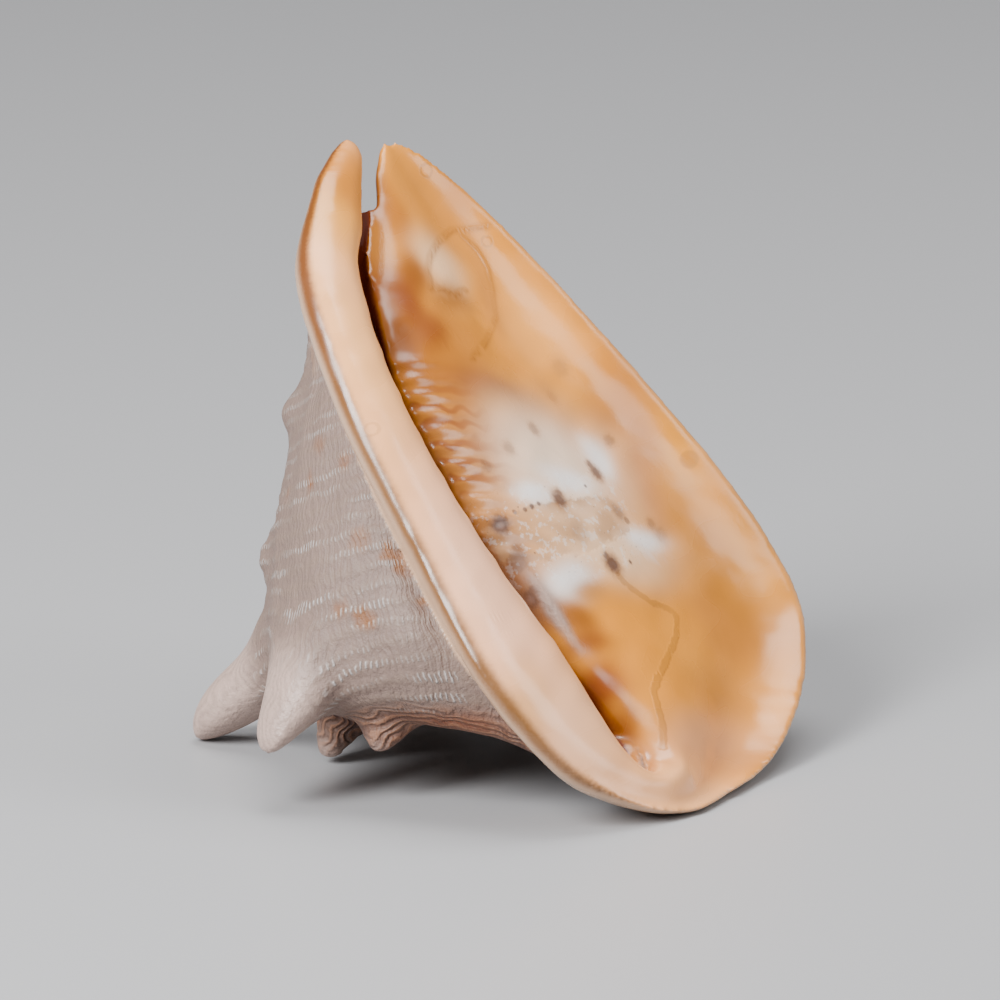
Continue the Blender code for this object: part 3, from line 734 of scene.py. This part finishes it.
# Spots on the worn area: (w, l), radius, darkness, and paler in the middle or not.
SPOTS = (
    (7.0, 72.6, 3.0, 0.95, 1),
    (-17.7, 77.7, 2.6, 0.85, 0),
    (-18.6, 79.4, 1.6, 0.7, 0),
    (-41.6, 86.4, 2.4, 0.8, 0),
    (-40.6, 88.6, 1.6, 0.7, 0),
    (5.3, 62.4, 3.2, 0.6, 0),
    (4.6, 65.2, 2.0, 0.5, 0),
    (5.0, 52.0, 3.2, 0.95, 1),
    (3.4, 54.0, 1.8, 0.8, 0),
    (-28.8, 58.6, 3.0, 0.95, 0),
    (-27.8, 60.9, 1.5, 0.8, 0),
    (-58.5, 68.0, 2.6, 0.8, 0),
    (-56.3, 71.2, 1.8, 0.8, 0),
    (-54.5, 96.2, 1.8, 0.6, 0),
    (-42.6, 74.3, 2.6, 0.5, 0),
    (-45.0, 72.0, 1.4, 0.6, 0),
    (-20.2, 68.0, 3.4, 0.28, 0),
    (-21.6, 99.2, 2.0, 0.4, 0),
    (-6.8, 93.4, 2.0, 0.34, 0),
    (4.2, 89.4, 2.0, 0.34, 0),
    (-48.0, 118.3, 2.8, 0.3, 0),
    (-40.2, 110.1, 2.2, 0.25, 0),
    (-5.4, 76.2, 1.0, 0.9, 0),
    (-2.6, 75.6, 0.8, 0.8, 0),
    (-8.4, 76.8, 0.8, 0.8, 0),
    (1.2, 75.4, 0.8, 0.7, 0),
    (-37.4, 59.3, 0.8, 0.9, 0),
    (-32.4, 81.8, 0.7, 0.8, 0),
)

# Ring-shaped marks: (w, l), radius, how dark.
RINGS = (
    (-28.5, 177.5, 1.7, 0.30),
    (44.2, 101.3, 1.6, 0.20),
    (-40.4, 155.9, 1.4, 0.25),
)
DISC = (-75.9, 86.4, 2.6)

# Brown blotches of the whorl: (w, l, n), radius, how dark.
BLOTCHES = (
    (39.6, 101.9, -30.6, 1.7, 0.8),
    (34.7, 105.3, -42.7, 1.4, 0.8),
    (36.6, 109.7, -24.6, 2.4, 0.25),
    (39.6, 100.6, -17.7, 2.4, 0.35),
    (46.5, 78.2, -18.7, 3.0, 0.35),
    (43.4, 69.8, -8.9, 3.2, 0.9),
    (44.0, 65.0, -7.4, 3.0, 0.9),
    (44.4, 71.1, -12.8, 2.6, 0.7),
    (43.6, 66.5, -11.5, 2.6, 0.5),
    (42.8, 55.4, -8.5, 3.0, 0.6),
    (49.8, 59.2, -25.4, 3.0, 0.9),
    (48.4, 60.8, -27.8, 2.2, 0.6),
    (50.2, 64.9, -31.1, 2.2, 0.4),
    (20.0, 20.0, -70.0, 3.0, 0.6),
    (-40.0, 90.0, -60.0, 3.2, 0.6),
    (-10.0, 80.0, -85.0, 2.6, 0.5),
    (-70.0, 60.0, -40.0, 3.0, 0.5),
)

# Spiral cords and the riblets across them: pitch and height in mm, riblets in one turn.
CORD_PITCH = 4.3
CORD_HEIGHT = 0.22
RIBS = 250


def whorl_marks():
    """For each point of the whorl's rings: row of the cords, turn, horn, distance along, radius."""
    angle = LIP_ANGLE + 360 * np.arange(WHORL_STEPS[0]) / WHORL_STEPS[0]
    t = np.linspace(0.006, 0.996, WHORL_STEPS[1])
    grid_t, grid_angle = np.meshgrid(t, angle, indexing="ij")
    smooth, z, r = smooth_whorl(grid_angle, grid_t)
    rows = np.array(PROFILE)
    steps = np.hypot(np.diff(rows[:, 0]), np.diff(rows[:, 3]))
    row = grid_t * steps.sum() / CORD_PITCH
    rise = np.linalg.norm(whorl_points(grid_angle, grid_t) - smooth, axis=-1)
    turn = (grid_angle - LIP_ANGLE) / 360
    return np.stack([row, turn, rise, z, r], -1).reshape(-1, 5)


def band_marks(along, around):
    """For each point of the band's rings: share along, share of the section, kind."""
    rows = np.array(BAND)
    place = stations(rows[:, :2], rows[:, 2:4])
    s = np.linspace(0, 1, along)
    kind = np.clip(spline(place, rows, s)[:, 5], 0, 1)
    lip = closed_spline(np.array(LIP_SECTION), around)
    shield = closed_spline(np.array(SHIELD_SECTION), around)
    k = kind[:, None, None]
    section = lip[None] * (1 - k) + shield[None] * k
    # The front runs from the slit's edge to the rim, the back from the rim to the slit.
    turn = np.arange(around) / around
    front = np.broadcast_to(1 - soft(turn, 0.60, 0.68), section.shape[:2])
    return np.stack(
        [np.broadcast_to(s[:, None], front.shape), section[..., 0], section[..., 2],
         np.broadcast_to(kind[:, None], front.shape), front], -1
    ).reshape(-1, 5)


def main_skin():
    whorl = whorl_rings()
    band = band_points(*BAND_STEPS)
    hollow = hollow_points(*HOLLOW_STEPS)
    mesh = one_skin(whorl, band, hollow)
    count = len(mesh.vertices)
    flat = np.empty(count * 3)
    mesh.vertices.foreach_get("co", flat)
    point = to_shell(flat.reshape(-1, 3))
    mesh.vertices.foreach_get("normal", flat)
    normal = flat.reshape(-1, 3) @ np.linalg.inv(room_turn())
    from_whorl = away_from(whorl, point)
    from_band = away_from(band, point)
    from_hollow = away_from(hollow, point)
    row, turn, rise, z, r = carried(whorl.reshape(-1, 3), whorl_marks(), point).T
    _, share, height, kind, front = carried(band.reshape(-1, 3), band_marks(*BAND_STEPS), point).T
    w, l, n = point.T
    glaze = soft(from_whorl - from_band, -0.6, 0.6)
    inside = soft(np.minimum(from_whorl, from_band) - from_hollow, -0.3, 0.5)
    walled = between_edges(w, l) * soft(l, -6, 2) * soft(normal[:, 2], -0.5, -0.2) * (n > -24)
    in_slit = walled * soft(-n, 4.5, 7.0)
    glaze = np.maximum(glaze, np.maximum(inside, in_slit))
    horn = soft(rise, 5, 16)

    # Colour of the glazed face.
    shield = np.broadcast_to(tint(SHIELD_COLOUR), (count, 3)).copy()
    wander_w = w + 1.0 * rough(point, 22, 3)
    wander_l = l + 1.0 * rough(point, 22, 4)
    for each in SHIELD_PATCHES:
        m = patch(wander_w, wander_l, each)[:, None]
        shield = shield * (1 - m) + tint(each[6]) * m
    rim = (soft(share, 0.90, 0.99) * 0.6)[:, None]
    shield = shield * (1 - rim) + tint(SHIELD_RIM_COLOUR) * rim
    lip = np.broadcast_to(tint(LIP_COLOUR), (count, 3)).copy()
    for each in LIP_PATCHES:
        m = patch(wander_w, wander_l, each)[:, None]
        lip = lip * (1 - m) + tint(each[6]) * m
    upper = soft(l, 90, 150)[:, None]
    edge = tint(LIP_EDGE_COLOUR) * (1 - upper) + tint(LIP_EDGE_DEEP) * upper
    m = (soft(share, 0.88, 0.98) * soft(-height, 0.5, 3.5) * 0.95)[:, None]
    lip = lip * (1 - m) + edge * m
    k = soft(kind, 0.25, 0.75)[:, None]
    face = lip * (1 - k) + shield * k
    back = (1 - front)[:, None]
    face = face * (1 - back) + tint(BACK_OF_LIP) * back

    # The slit's walls and the hollow behind it. The walls' red-brown darkens with depth to near black as
    # painted shade. The face's edge darkens as painted shade where it turns down into the slit, and the
    # hollow is painted in the same dark shade. starts is the depth where that painted shade begins.
    starts = 5.0 + 5.0 * kind * (1 - soft(l, 122, 148))
    slit_shade = soft(-n - starts, 0, 4.5) * soft(1 - share, 0.6, 0.95) * front
    shade_down = soft(-n, 7.0, 16.0)[:, None]
    wall_colour_and_shade = tint(SLIT_COLOUR) * (1 - shade_down) + tint(SLIT_SHADE_COLOUR) * shade_down
    # Painted shade on the face's edge into the slit, on the slit's walls below where it starts, and over the
    # whole hollow.
    m = np.maximum(np.maximum(slit_shade * 0.9, walled * soft(-n - starts, 0, 4.5)), inside)[:, None]
    face = face * (1 - m) + wall_colour_and_shade * m

    # The whorl outside: dull and darkened with painted shade, paler on the horns, which keep the shell's lit
    # colour, red-brown round the spire.
    outer = np.broadcast_to(tint(WHORL_COLOUR_IN_SHADE), (count, 3)).copy()
    m = horn[:, None]
    outer = outer * (1 - m) + tint(HORN_COLOUR) * m
    spire = 1 - soft(row, 10.4, 12.2)
    m = (spire * (1 - horn) * (0.75 + 0.25 * rough(point, 18, 5)))[:, None].clip(0, 1)
    side = tint(SPIRE_SIDE_COLOUR) * (1 - soft(rough(point, 16, 6), 0, 1)[:, None]) + tint(
        SPIRE_SIDE_DEEP
    ) * soft(rough(point, 16, 6), 0, 1)[:, None]
    orange = np.exp(-(((w - 32) / 9) ** 2 + ((l - 22) / 9) ** 2))[:, None]
    side = side * (1 - orange) + tint(SPIRE_SIDE_ORANGE) * orange
    outer = outer * (1 - m) + side * m
    for bw, bl, bn, radius, dark in BLOTCHES:
        far = np.linalg.norm(point - (bw, bl, bn), axis=1) + 0.8 * rough(point, 4, 7)
        m = (min(1.0, 1.6 * dark) * (1 - soft(far, 0.4 * radius, 1.5 * radius)))[:, None]
        outer = outer * (1 - m) + tint(BLOTCH_COLOUR) * m
    m = glaze[:, None]
    tone = outer * (1 - m) + face * m

    # Relief.
    dull = 1 - glaze
    cords = CORD_HEIGHT * np.cos(2 * math.pi * row) * (1 - horn) * soft(rough(point, 44, 12), -1.0, 0.6)
    cords = cords * (1 - 0.6 * spire) * soft(r, 8, 22)
    steps = 0.20 * rough(np.stack([turn * 360, row * 0.6, 0 * row], -1), 11, 8)
    swell = 0.6 * rough(point, 34, 9) * (0.3 + 0.7 * soft(r, 10, 30))
    ripple = 0.14 * rough(point, 30, 10) + 0.06 * rough(point, 12, 11)
    spiral = np.log2(np.maximum(r, 1.0) / 41.0) + turn
    groove = (1 - soft(z, -1.5, 1.0)) * np.exp(-(((spiral + 0.5) % 1 - 0.5) / 0.06) ** 2)
    move = dull * (cords + steps + swell - 1.0 * groove) + glaze * (1 - inside) * ripple
    point += normal * move[:, None]
    mesh.vertices.foreach_set("co", to_room(point).ravel())

    marks = {
        "tone": np.concatenate([tone.clip(0, 1), np.ones((count, 1))], 1),
        "shell_mm": np.stack([w, l, n], -1),
        "coil": np.stack([row, turn, horn], -1),
        "zone": np.stack([glaze, spire, inside], -1),
        "band": np.stack([share, height, kind], -1),
        # Worn plate, drip line, and the lens-fold outlines that carry painted shade.
        "worn": np.stack([
            inside_of(WORN_PLATE, w, l),
            way_to(DRIP_LINE, w, l),
            np.min([way_to(path, w, l) for path in (LENS_LINE, CRESCENT_LINE, LENS_FOOT)], axis=0),
        ], -1),
        "drift": np.stack([rough(point, 12, 21), rough(point, 9, 22), rough(point, 15, 23)], -1),
        "shift": np.stack([rough(point, 5, 24), rough(point, 8, 25), rough(point, 7, 26)], -1),
        "front": np.stack([front, soft(np.minimum(turn, 1 - turn), 0.003, 0.012), front], -1),
    }
    for name, values in marks.items():
        kind_of = "FLOAT_COLOR" if name == "tone" else "FLOAT_VECTOR"
        layer = mesh.attributes.new(name, kind_of, "POINT")
        layer.data.foreach_set("color" if name == "tone" else "vector", values.astype(np.float32).ravel())
    mesh.shade_smooth()
    mesh.name = "shell_skin"
    skin = bpy.data.objects.new("shell_skin", mesh)
    bpy.context.scene.collection.objects.link(skin)
    return skin


def between_edges(w, l):
    """From 0 to 1, how surely (w, l) lies between the slit's edges."""
    rows = np.array(HOLLOW)
    edges = spline(rows[:, 0], rows[:, 1:3], np.clip(l, rows[0, 0], rows[-1, 0]))
    half = (edges[..., 1] - edges[..., 0]) / 2 + SLIT_MARGIN
    return soft(np.exp(-(((w - edges.mean(axis=-1)) / half) ** 4)), 0.2, 0.6)


def inside_of(corners, w, l):
    """Distance inside a convex outline, positive inside."""
    middle = np.mean(corners, axis=0)
    best = np.full(w.shape, 1e3)
    for (w0, l0), (w1, l1) in zip(corners, [*corners[1:], corners[0]]):
        across = np.array([l1 - l0, w0 - w1], float)
        across /= np.linalg.norm(across)
        if across @ (middle - (w0, l0)) < 0:
            across = -across
        best = np.minimum(best, (w - w0) * across[0] + (l - l0) * across[1])
    return best


class Graph:
    """A material's nodes, written as calls."""

    def __init__(self, name):
        self.material = bpy.data.materials.new(name)
        self.material.use_nodes = True
        self.tree = self.material.node_tree
        self.surface = self.tree.nodes["Principled BSDF"]

    def node(self, kind, inputs=(), **settings):
        made = self.tree.nodes.new(kind)
        for key, value in settings.items():
            setattr(made, key, value)
        for key, value in dict(inputs).items():
            self.feed(made.inputs[key], value)
        return made

    def feed(self, socket, value):
        if isinstance(value, bpy.types.NodeSocket):
            self.tree.links.new(value, socket)
        else:
            socket.default_value = value

    def math(self, operation, a, b=0.0):
        return self.node("ShaderNodeMath", {0: a, 1: b}, operation=operation).outputs[0]

    def add(self, a, b):
        return self.math("ADD", a, b)

    def sub(self, a, b):
        return self.math("SUBTRACT", a, b)

    def mul(self, a, b):
        return self.math("MULTIPLY", a, b)

    def most(self, a, b):
        return self.math("MAXIMUM", a, b)

    def total(self, *parts):
        out = parts[0]
        for part in parts[1:]:
            out = self.add(out, part)
        return out

    def over(self, x, low, high, start=0.0, end=1.0):
        """Smooth step of x from start at low to end at high."""
        values = {0: x, 1: low, 2: high, 3: start, 4: end}
        return self.node("ShaderNodeMapRange", values, interpolation_type="SMOOTHSTEP").outputs[0]

    def wave(self, phase):
        """Between 0 and 1, one crest for each whole number."""
        return self.add(self.mul(self.math("COSINE", self.mul(phase, 2 * math.pi)), 0.5), 0.5)

    def mix(self, share, a, b):
        made = self.node("ShaderNodeMix", {0: share, 6: a, 7: b}, data_type="RGBA")
        return made.outputs[2]

    def noise(self, at, scale, detail=2.0, rough=0.5):
        values = {"Vector": at, "Scale": scale, "Detail": detail, "Roughness": rough}
        return self.node("ShaderNodeTexNoise", values).outputs[0]

    def attribute(self, name):
        return self.node("ShaderNodeAttribute", attribute_name=name)

    def parts(self, name):
        split = self.node("ShaderNodeSeparateXYZ", {0: self.attribute(name).outputs["Vector"]})
        return list(split.outputs)

    def joined(self, x, y, z):
        return self.node("ShaderNodeCombineXYZ", {0: x, 1: y, 2: z}).outputs[0]

    def far(self, at, point):
        return self.node("ShaderNodeVectorMath", {0: at, 1: point}, operation="DISTANCE").outputs[1]


def colour(rgb):
    return (*rgb, 1.0)


def shell_material():
    g = Graph("shell")
    w, l, n = g.parts("shell_mm")
    row, turn, horn = g.parts("coil")
    glaze, spire, inside = g.parts("zone")
    kind = g.parts("band")[2]
    plate, drip, lens = g.parts("worn")
    front, off_seam = g.parts("front")[:2]
    place = g.joined(w, l, n)
    shown = g.mul(g.mul(glaze, front), g.sub(1.0, inside))
    dull = g.sub(1.0, glaze)
    fine = g.noise(place, 0.9, 3.0)
    drift, wobble, strength = g.parts("drift")
    row_shift, cloud_shift, wave_shift = g.parts("shift")
    broad = g.add(0.5, g.mul(drift, 0.13))
    wobble = g.add(0.5, g.mul(wobble, 0.13))
    tone = g.attribute("tone").outputs["Color"]

    # Faint clouds in the glaze.
    cloud = g.over(broad, 0.35, 0.65, 0.96, 1.03)
    look = g.node("ShaderNodeHueSaturation", {"Value": cloud, "Color": tone}).outputs[0]
    on_shield = g.mul(g.mul(shown, g.over(kind, 0.4, 0.8)), g.over(n, -11.0, -7.0))

    # Where the worn patch starts, its edge wanders.
    jitter = g.mul(g.sub(g.noise(place, 0.45, 2.0), 0.5), 4.0)
    flat = g.joined(w, l, 0.0)
    worn = g.over(g.add(plate, jitter), -0.5, 0.9)
    worn_share = g.mul(g.mul(worn, on_shield), g.over(cloud_shift, -1.0, 0.9, 0.25, 0.85))
    look = g.mix(worn_share, look, colour(WORN_PLATE_COLOUR))
    chalk = g.over(g.noise(place, 0.35, 3.0, 0.65), 0.54, 0.62)
    near_plate = g.mul(g.over(g.add(plate, g.mul(jitter, 1.5)), -9.0, -3.0), on_shield)
    look = g.mix(g.mul(g.mul(chalk, near_plate), 0.3), look, colour((0.93, 0.93, 0.93)))

    # Orange grooves between the folds of the columella.
    fold_at = g.math("DIVIDE", g.sub(g.add(l, g.mul(w, -0.25)), FOLD_FIRST), FOLD_PITCH)
    uneven = g.mul(wave_shift, 0.22)
    groove = g.sub(1.0, g.wave(g.add(fold_at, uneven)))
    fold_zone = g.mul(
        g.mul(g.over(l, 80.0, 86.0), g.over(l, 118.0, 110.0)), g.over(w, -8.0, 12.0)
    )
    fold_zone = g.mul(fold_zone, on_shield)
    look = g.mix(g.mul(fold_zone, 0.7), look, colour((0.46, 0.155, 0.01)))
    look = g.mix(g.mul(g.mul(g.over(groove, 0.25, 1.0), fold_zone), 0.6), look, colour((0.19, 0.031, 0.004)))

    # Drip of darker glaze, and painted shade drawn as darker lines along the outlines of the lens-shaped
    # fold.
    wander = g.mul(g.sub(g.noise(place, 0.35, 2.0), 0.5), 1.6)
    drip_mark = g.over(g.add(drip, wander), 1.5, 0.7)
    look = g.mix(g.mul(g.mul(drip_mark, on_shield), 0.4), look, colour((0.29, 0.11, 0.007)))
    lens_outline_shade = g.over(g.add(lens, g.mul(wander, 0.2)), 1.9, 0.3)
    look = g.mix(g.mul(g.mul(lens_outline_shade, on_shield), 0.42), look, colour((0.27, 0.086, 0.004)))

    # Brown spots.
    ragged = g.mul(g.sub(fine, 0.5), 1.8)
    spots = 0.0
    halo = 0.0
    pale = 0.0
    for sw, sl, radius, dark, hollow_spot in SPOTS:
        distance = g.add(g.far(flat, (sw, sl, 0.0)), g.mul(ragged, min(1.0, radius / 2)))
        mark = g.over(distance, 1.25 * radius, 0.45 * radius, 0.0, dark)
        spots = g.most(spots, mark)
        if radius > 1.5:
            halo = g.most(halo, g.over(distance, 1.9 * radius, 0.9 * radius, 0.0, 0.6 * dark))
        if hollow_spot:
            pale = g.most(pale, g.over(distance, 0.5 * radius, 0.1 * radius))
    spots = g.mul(spots, on_shield)
    look = g.mix(g.mul(halo, on_shield), look, colour((0.36, 0.14, 0.035)))
    spot_colour = g.mix(g.over(fine, 0.4, 0.6), colour((0.06, 0.016, 0.006)), colour((0.06, 0.024, 0.022)))
    look = g.mix(g.mul(spots, 0.9), look, spot_colour)
    look = g.mix(g.mul(g.mul(pale, on_shield), 0.18), look, colour((0.57, 0.34, 0.28)))

    # Rings left by drops, and one darker disc.
    rings = 0.0
    for rw, rl, radius, dark in RINGS:
        distance = g.add(g.far(flat, (rw, rl, 0.0)), g.mul(ragged, 0.5))
        band = g.math("ABSOLUTE", g.sub(distance, radius))
        rings = g.most(rings, g.over(band, 0.55, 0.15, 0.0, dark))
    rings = g.mul(rings, shown)
    look = g.mix(rings, look, colour((0.22, 0.083, 0.009)))
    disc = g.over(g.far(flat, (DISC[0], DISC[1], 0.0)), DISC[2] * 1.1, DISC[2] * 0.8, 0.0, 0.45)
    look = g.mix(g.mul(disc, shown), look, colour((0.33, 0.11, 0.004)))

    # Tiny dark pits near the worn patch.
    pits = g.over(g.noise(place, 1.6, 1.0), 0.73, 0.78)
    look = g.mix(g.mul(g.mul(pits, near_plate), 0.6), look, colour((0.06, 0.022, 0.004)))

    # The whorl: rows of short white riblets whose white is partly painted glints, mauve between them, fine
    # growth lines.
    rib_phase = g.add(g.mul(turn, RIBS), g.mul(wobble, 2.2))
    row_phase = g.add(row, g.mul(row_shift, 0.11))
    crest = g.wave(row_phase)
    rib = g.wave(rib_phase)
    strength = g.over(strength, -0.5, 1.1)
    riblets_and_glints = g.mul(g.mul(g.over(crest, 0.5, 0.95), g.math("POWER", rib, 2.6)), strength)
    riblets_and_glints = g.mul(g.mul(riblets_and_glints, g.sub(1.0, horn)), g.sub(1.0, spire))
    riblets_and_glints = g.mul(g.mul(riblets_and_glints, dull), off_seam)
    growth_lines = g.mul(g.wave(g.add(g.mul(turn, RIBS * 0.6), g.mul(wobble, 5.0))), off_seam)
    finer = g.mul(g.wave(g.add(g.mul(turn, RIBS * 1.4), g.mul(wobble, 7.0))), off_seam)
    mauve = g.mul(g.mul(g.sub(1.0, crest), dull), g.sub(1.0, g.most(horn, spire)))
    dull_look = g.mix(g.mul(mauve, 0.25), look, colour((0.2, 0.13, 0.12)))
    dull_look = g.mix(g.mul(g.mul(growth_lines, dull), 0.22), dull_look, colour((0.14, 0.094, 0.082)))
    # White of the riblets, partly their own pale colour and partly painted glints.
    dull_look = g.mix(g.mul(riblets_and_glints, 0.34), dull_look, colour((0.93, 0.93, 0.93)))
    wave_row = g.add(g.mul(row, 2.1), g.mul(wave_shift, 0.42))
    lamella = g.wave(wave_row)
    on_spire = g.mul(g.mul(spire, dull), g.sub(1.0, horn))
    scales = g.mul(g.mul(g.over(lamella, 0.5, 1.0), on_spire), 0.4)
    dull_look = g.mix(scales, dull_look, colour((0.41, 0.19, 0.1)))
    dirt = g.mul(g.over(fine, 0.55, 0.75), 0.25)
    dull_look = g.mix(g.mul(dirt, dull), dull_look, colour((0.11, 0.071, 0.052)))
    look = g.mix(dull, look, dull_look)
    g.feed(g.surface.inputs["Base Color"], look)

    # Shine: wet-looking glaze, chalky patch a little duller, dull whorl.
    rough_face = g.add(0.22, g.mul(g.over(broad, 0.4, 0.65), 0.10))
    rough_face = g.add(rough_face, g.mul(near_plate, 0.08))
    rough_face = g.add(rough_face, g.mul(spots, 0.12))
    rough_dull = g.sub(0.62, g.add(g.mul(riblets_and_glints, 0.25), g.mul(horn, 0.15)))
    mixed = g.add(g.mul(rough_face, glaze), g.mul(rough_dull, dull))
    g.feed(g.surface.inputs["Roughness"], mixed)
    g.feed(g.surface.inputs["Coat Weight"], g.mul(glaze, 0.15))
    g.surface.inputs["Coat Roughness"].default_value = 0.12
    g.surface.inputs["IOR"].default_value = 1.52

    # Height in millimetres.
    lens_step = g.mul(g.over(g.math("ABSOLUTE", lens), 0.9, 0.0), 0.10)
    face_height = g.total(
        g.mul(g.mul(drip_mark, on_shield), 0.12),
        g.mul(g.mul(lens_step, on_shield), 1.0),
        g.mul(rings, 0.08),
        g.mul(g.mul(worn, on_shield), -0.10),
        g.mul(g.mul(pits, near_plate), -0.12),
        g.mul(g.mul(cloud_shift, glaze), 0.06),
    )
    not_bare = g.mul(dull, g.sub(1.0, g.mul(horn, 0.7)))
    dull_height = g.total(
        g.mul(riblets_and_glints, 0.26),
        g.mul(g.mul(growth_lines, not_bare), 0.12),
        g.mul(g.mul(finer, not_bare), 0.06),
        g.mul(g.mul(g.noise(place, 0.5, 2.0, 0.6), dull), 0.5),
        g.mul(g.mul(lamella, on_spire), 0.55),
        g.mul(g.mul(g.noise(place, 2.2, 1.0), dull), 0.10),
    )
    bump = g.node(
        "ShaderNodeBump",
        {"Strength": 1.0, "Distance": MM, "Height": g.add(face_height, dull_height)},
    )
    g.feed(g.surface.inputs["Normal"], bump.outputs[0])
    return g.material


# The camera: distance, width of its frame at the shell, in metres, and its angle above the floor.
VIEW_DISTANCE = 6.0
VIEW_WIDTH = 0.25974
VIEW_ELEVATION = 15.0
VIEW_TARGET = (0.0, 0.0, 0.0715)


def floor_and_wall():
    """A pale floor that curves up behind the shell."""
    half, depth, bend, top = 4.0, 3.2, 0.9, 3.0
    profile = [(-3.0, 0.0), (depth, 0.0)]
    for i in range(1, 17):
        a = i / 16 * math.pi / 2
        profile.append((depth + bend * math.sin(a), bend * (1 - math.cos(a))))
    profile.append((depth + bend, top))
    verts = [(x, y, z) for y, z in profile for x in (-half, half)]
    faces = [(2 * i, 2 * i + 1, 2 * i + 3, 2 * i + 2) for i in range(len(profile) - 1)]
    mesh = bpy.data.meshes.new("floor")
    mesh.from_pydata(verts, [], faces)
    mesh.shade_smooth()
    floor = bpy.data.objects.new("floor", mesh)
    bpy.context.scene.collection.objects.link(floor)
    g = Graph("floor")
    g.surface.inputs["Base Color"].default_value = (0.36, 0.36, 0.37, 1.0)
    g.surface.inputs["Roughness"].default_value = 0.45
    mesh.materials.append(g.material)


def area_light(name, place, target, size, power, tint=(1.0, 1.0, 1.0)):
    data = bpy.data.lights.new(name, "AREA")
    data.shape = "RECTANGLE"
    data.size, data.size_y = size
    data.energy = power
    data.color = tint
    light = bpy.data.objects.new(name, data)
    bpy.context.scene.collection.objects.link(light)
    light.location = place
    way = Vector(target) - Vector(place)
    light.rotation_euler = way.to_track_quat("-Z", "Y").to_euler()


def studio():
    aim = (0.0, 0.0, 0.07)
    area_light("left_softbox", (-0.75, -0.75, 0.85), aim, (0.5, 0.8), 41.0)
    area_light("right_softbox", (1.1, -0.35, 0.75), aim, (0.5, 1.0), 9.0)
    area_light("top_softbox", (0.1, 0.25, 1.3), aim, (1.0, 0.8), 20.0)
    world = bpy.data.worlds.new("studio")
    bpy.context.scene.world = world
    world.use_nodes = True
    sky = world.node_tree.nodes["Background"]
    sky.inputs["Color"].default_value = (1.0, 1.0, 1.0, 1.0)
    sky.inputs["Strength"].default_value = 0.25


def camera():
    data = bpy.data.cameras.new("camera")
    made = bpy.data.objects.new("camera", data)
    bpy.context.scene.collection.objects.link(made)
    data.sensor_width = 36.0
    data.lens = 36.0 * VIEW_DISTANCE / VIEW_WIDTH
    up = math.radians(VIEW_ELEVATION)
    back = Vector((0.0, -math.cos(up), math.sin(up)))
    made.location = Vector(VIEW_TARGET) + back * VIEW_DISTANCE
    made.rotation_euler = (-back).to_track_quat("-Z", "Y").to_euler()
    data.clip_start = 0.1
    data.clip_end = 30.0
    bpy.context.scene.camera = made


skin = main_skin()
skin.data.materials.append(shell_material())
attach(skin, "root")
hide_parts("helmet_shell")
floor_and_wall()
studio()
camera()
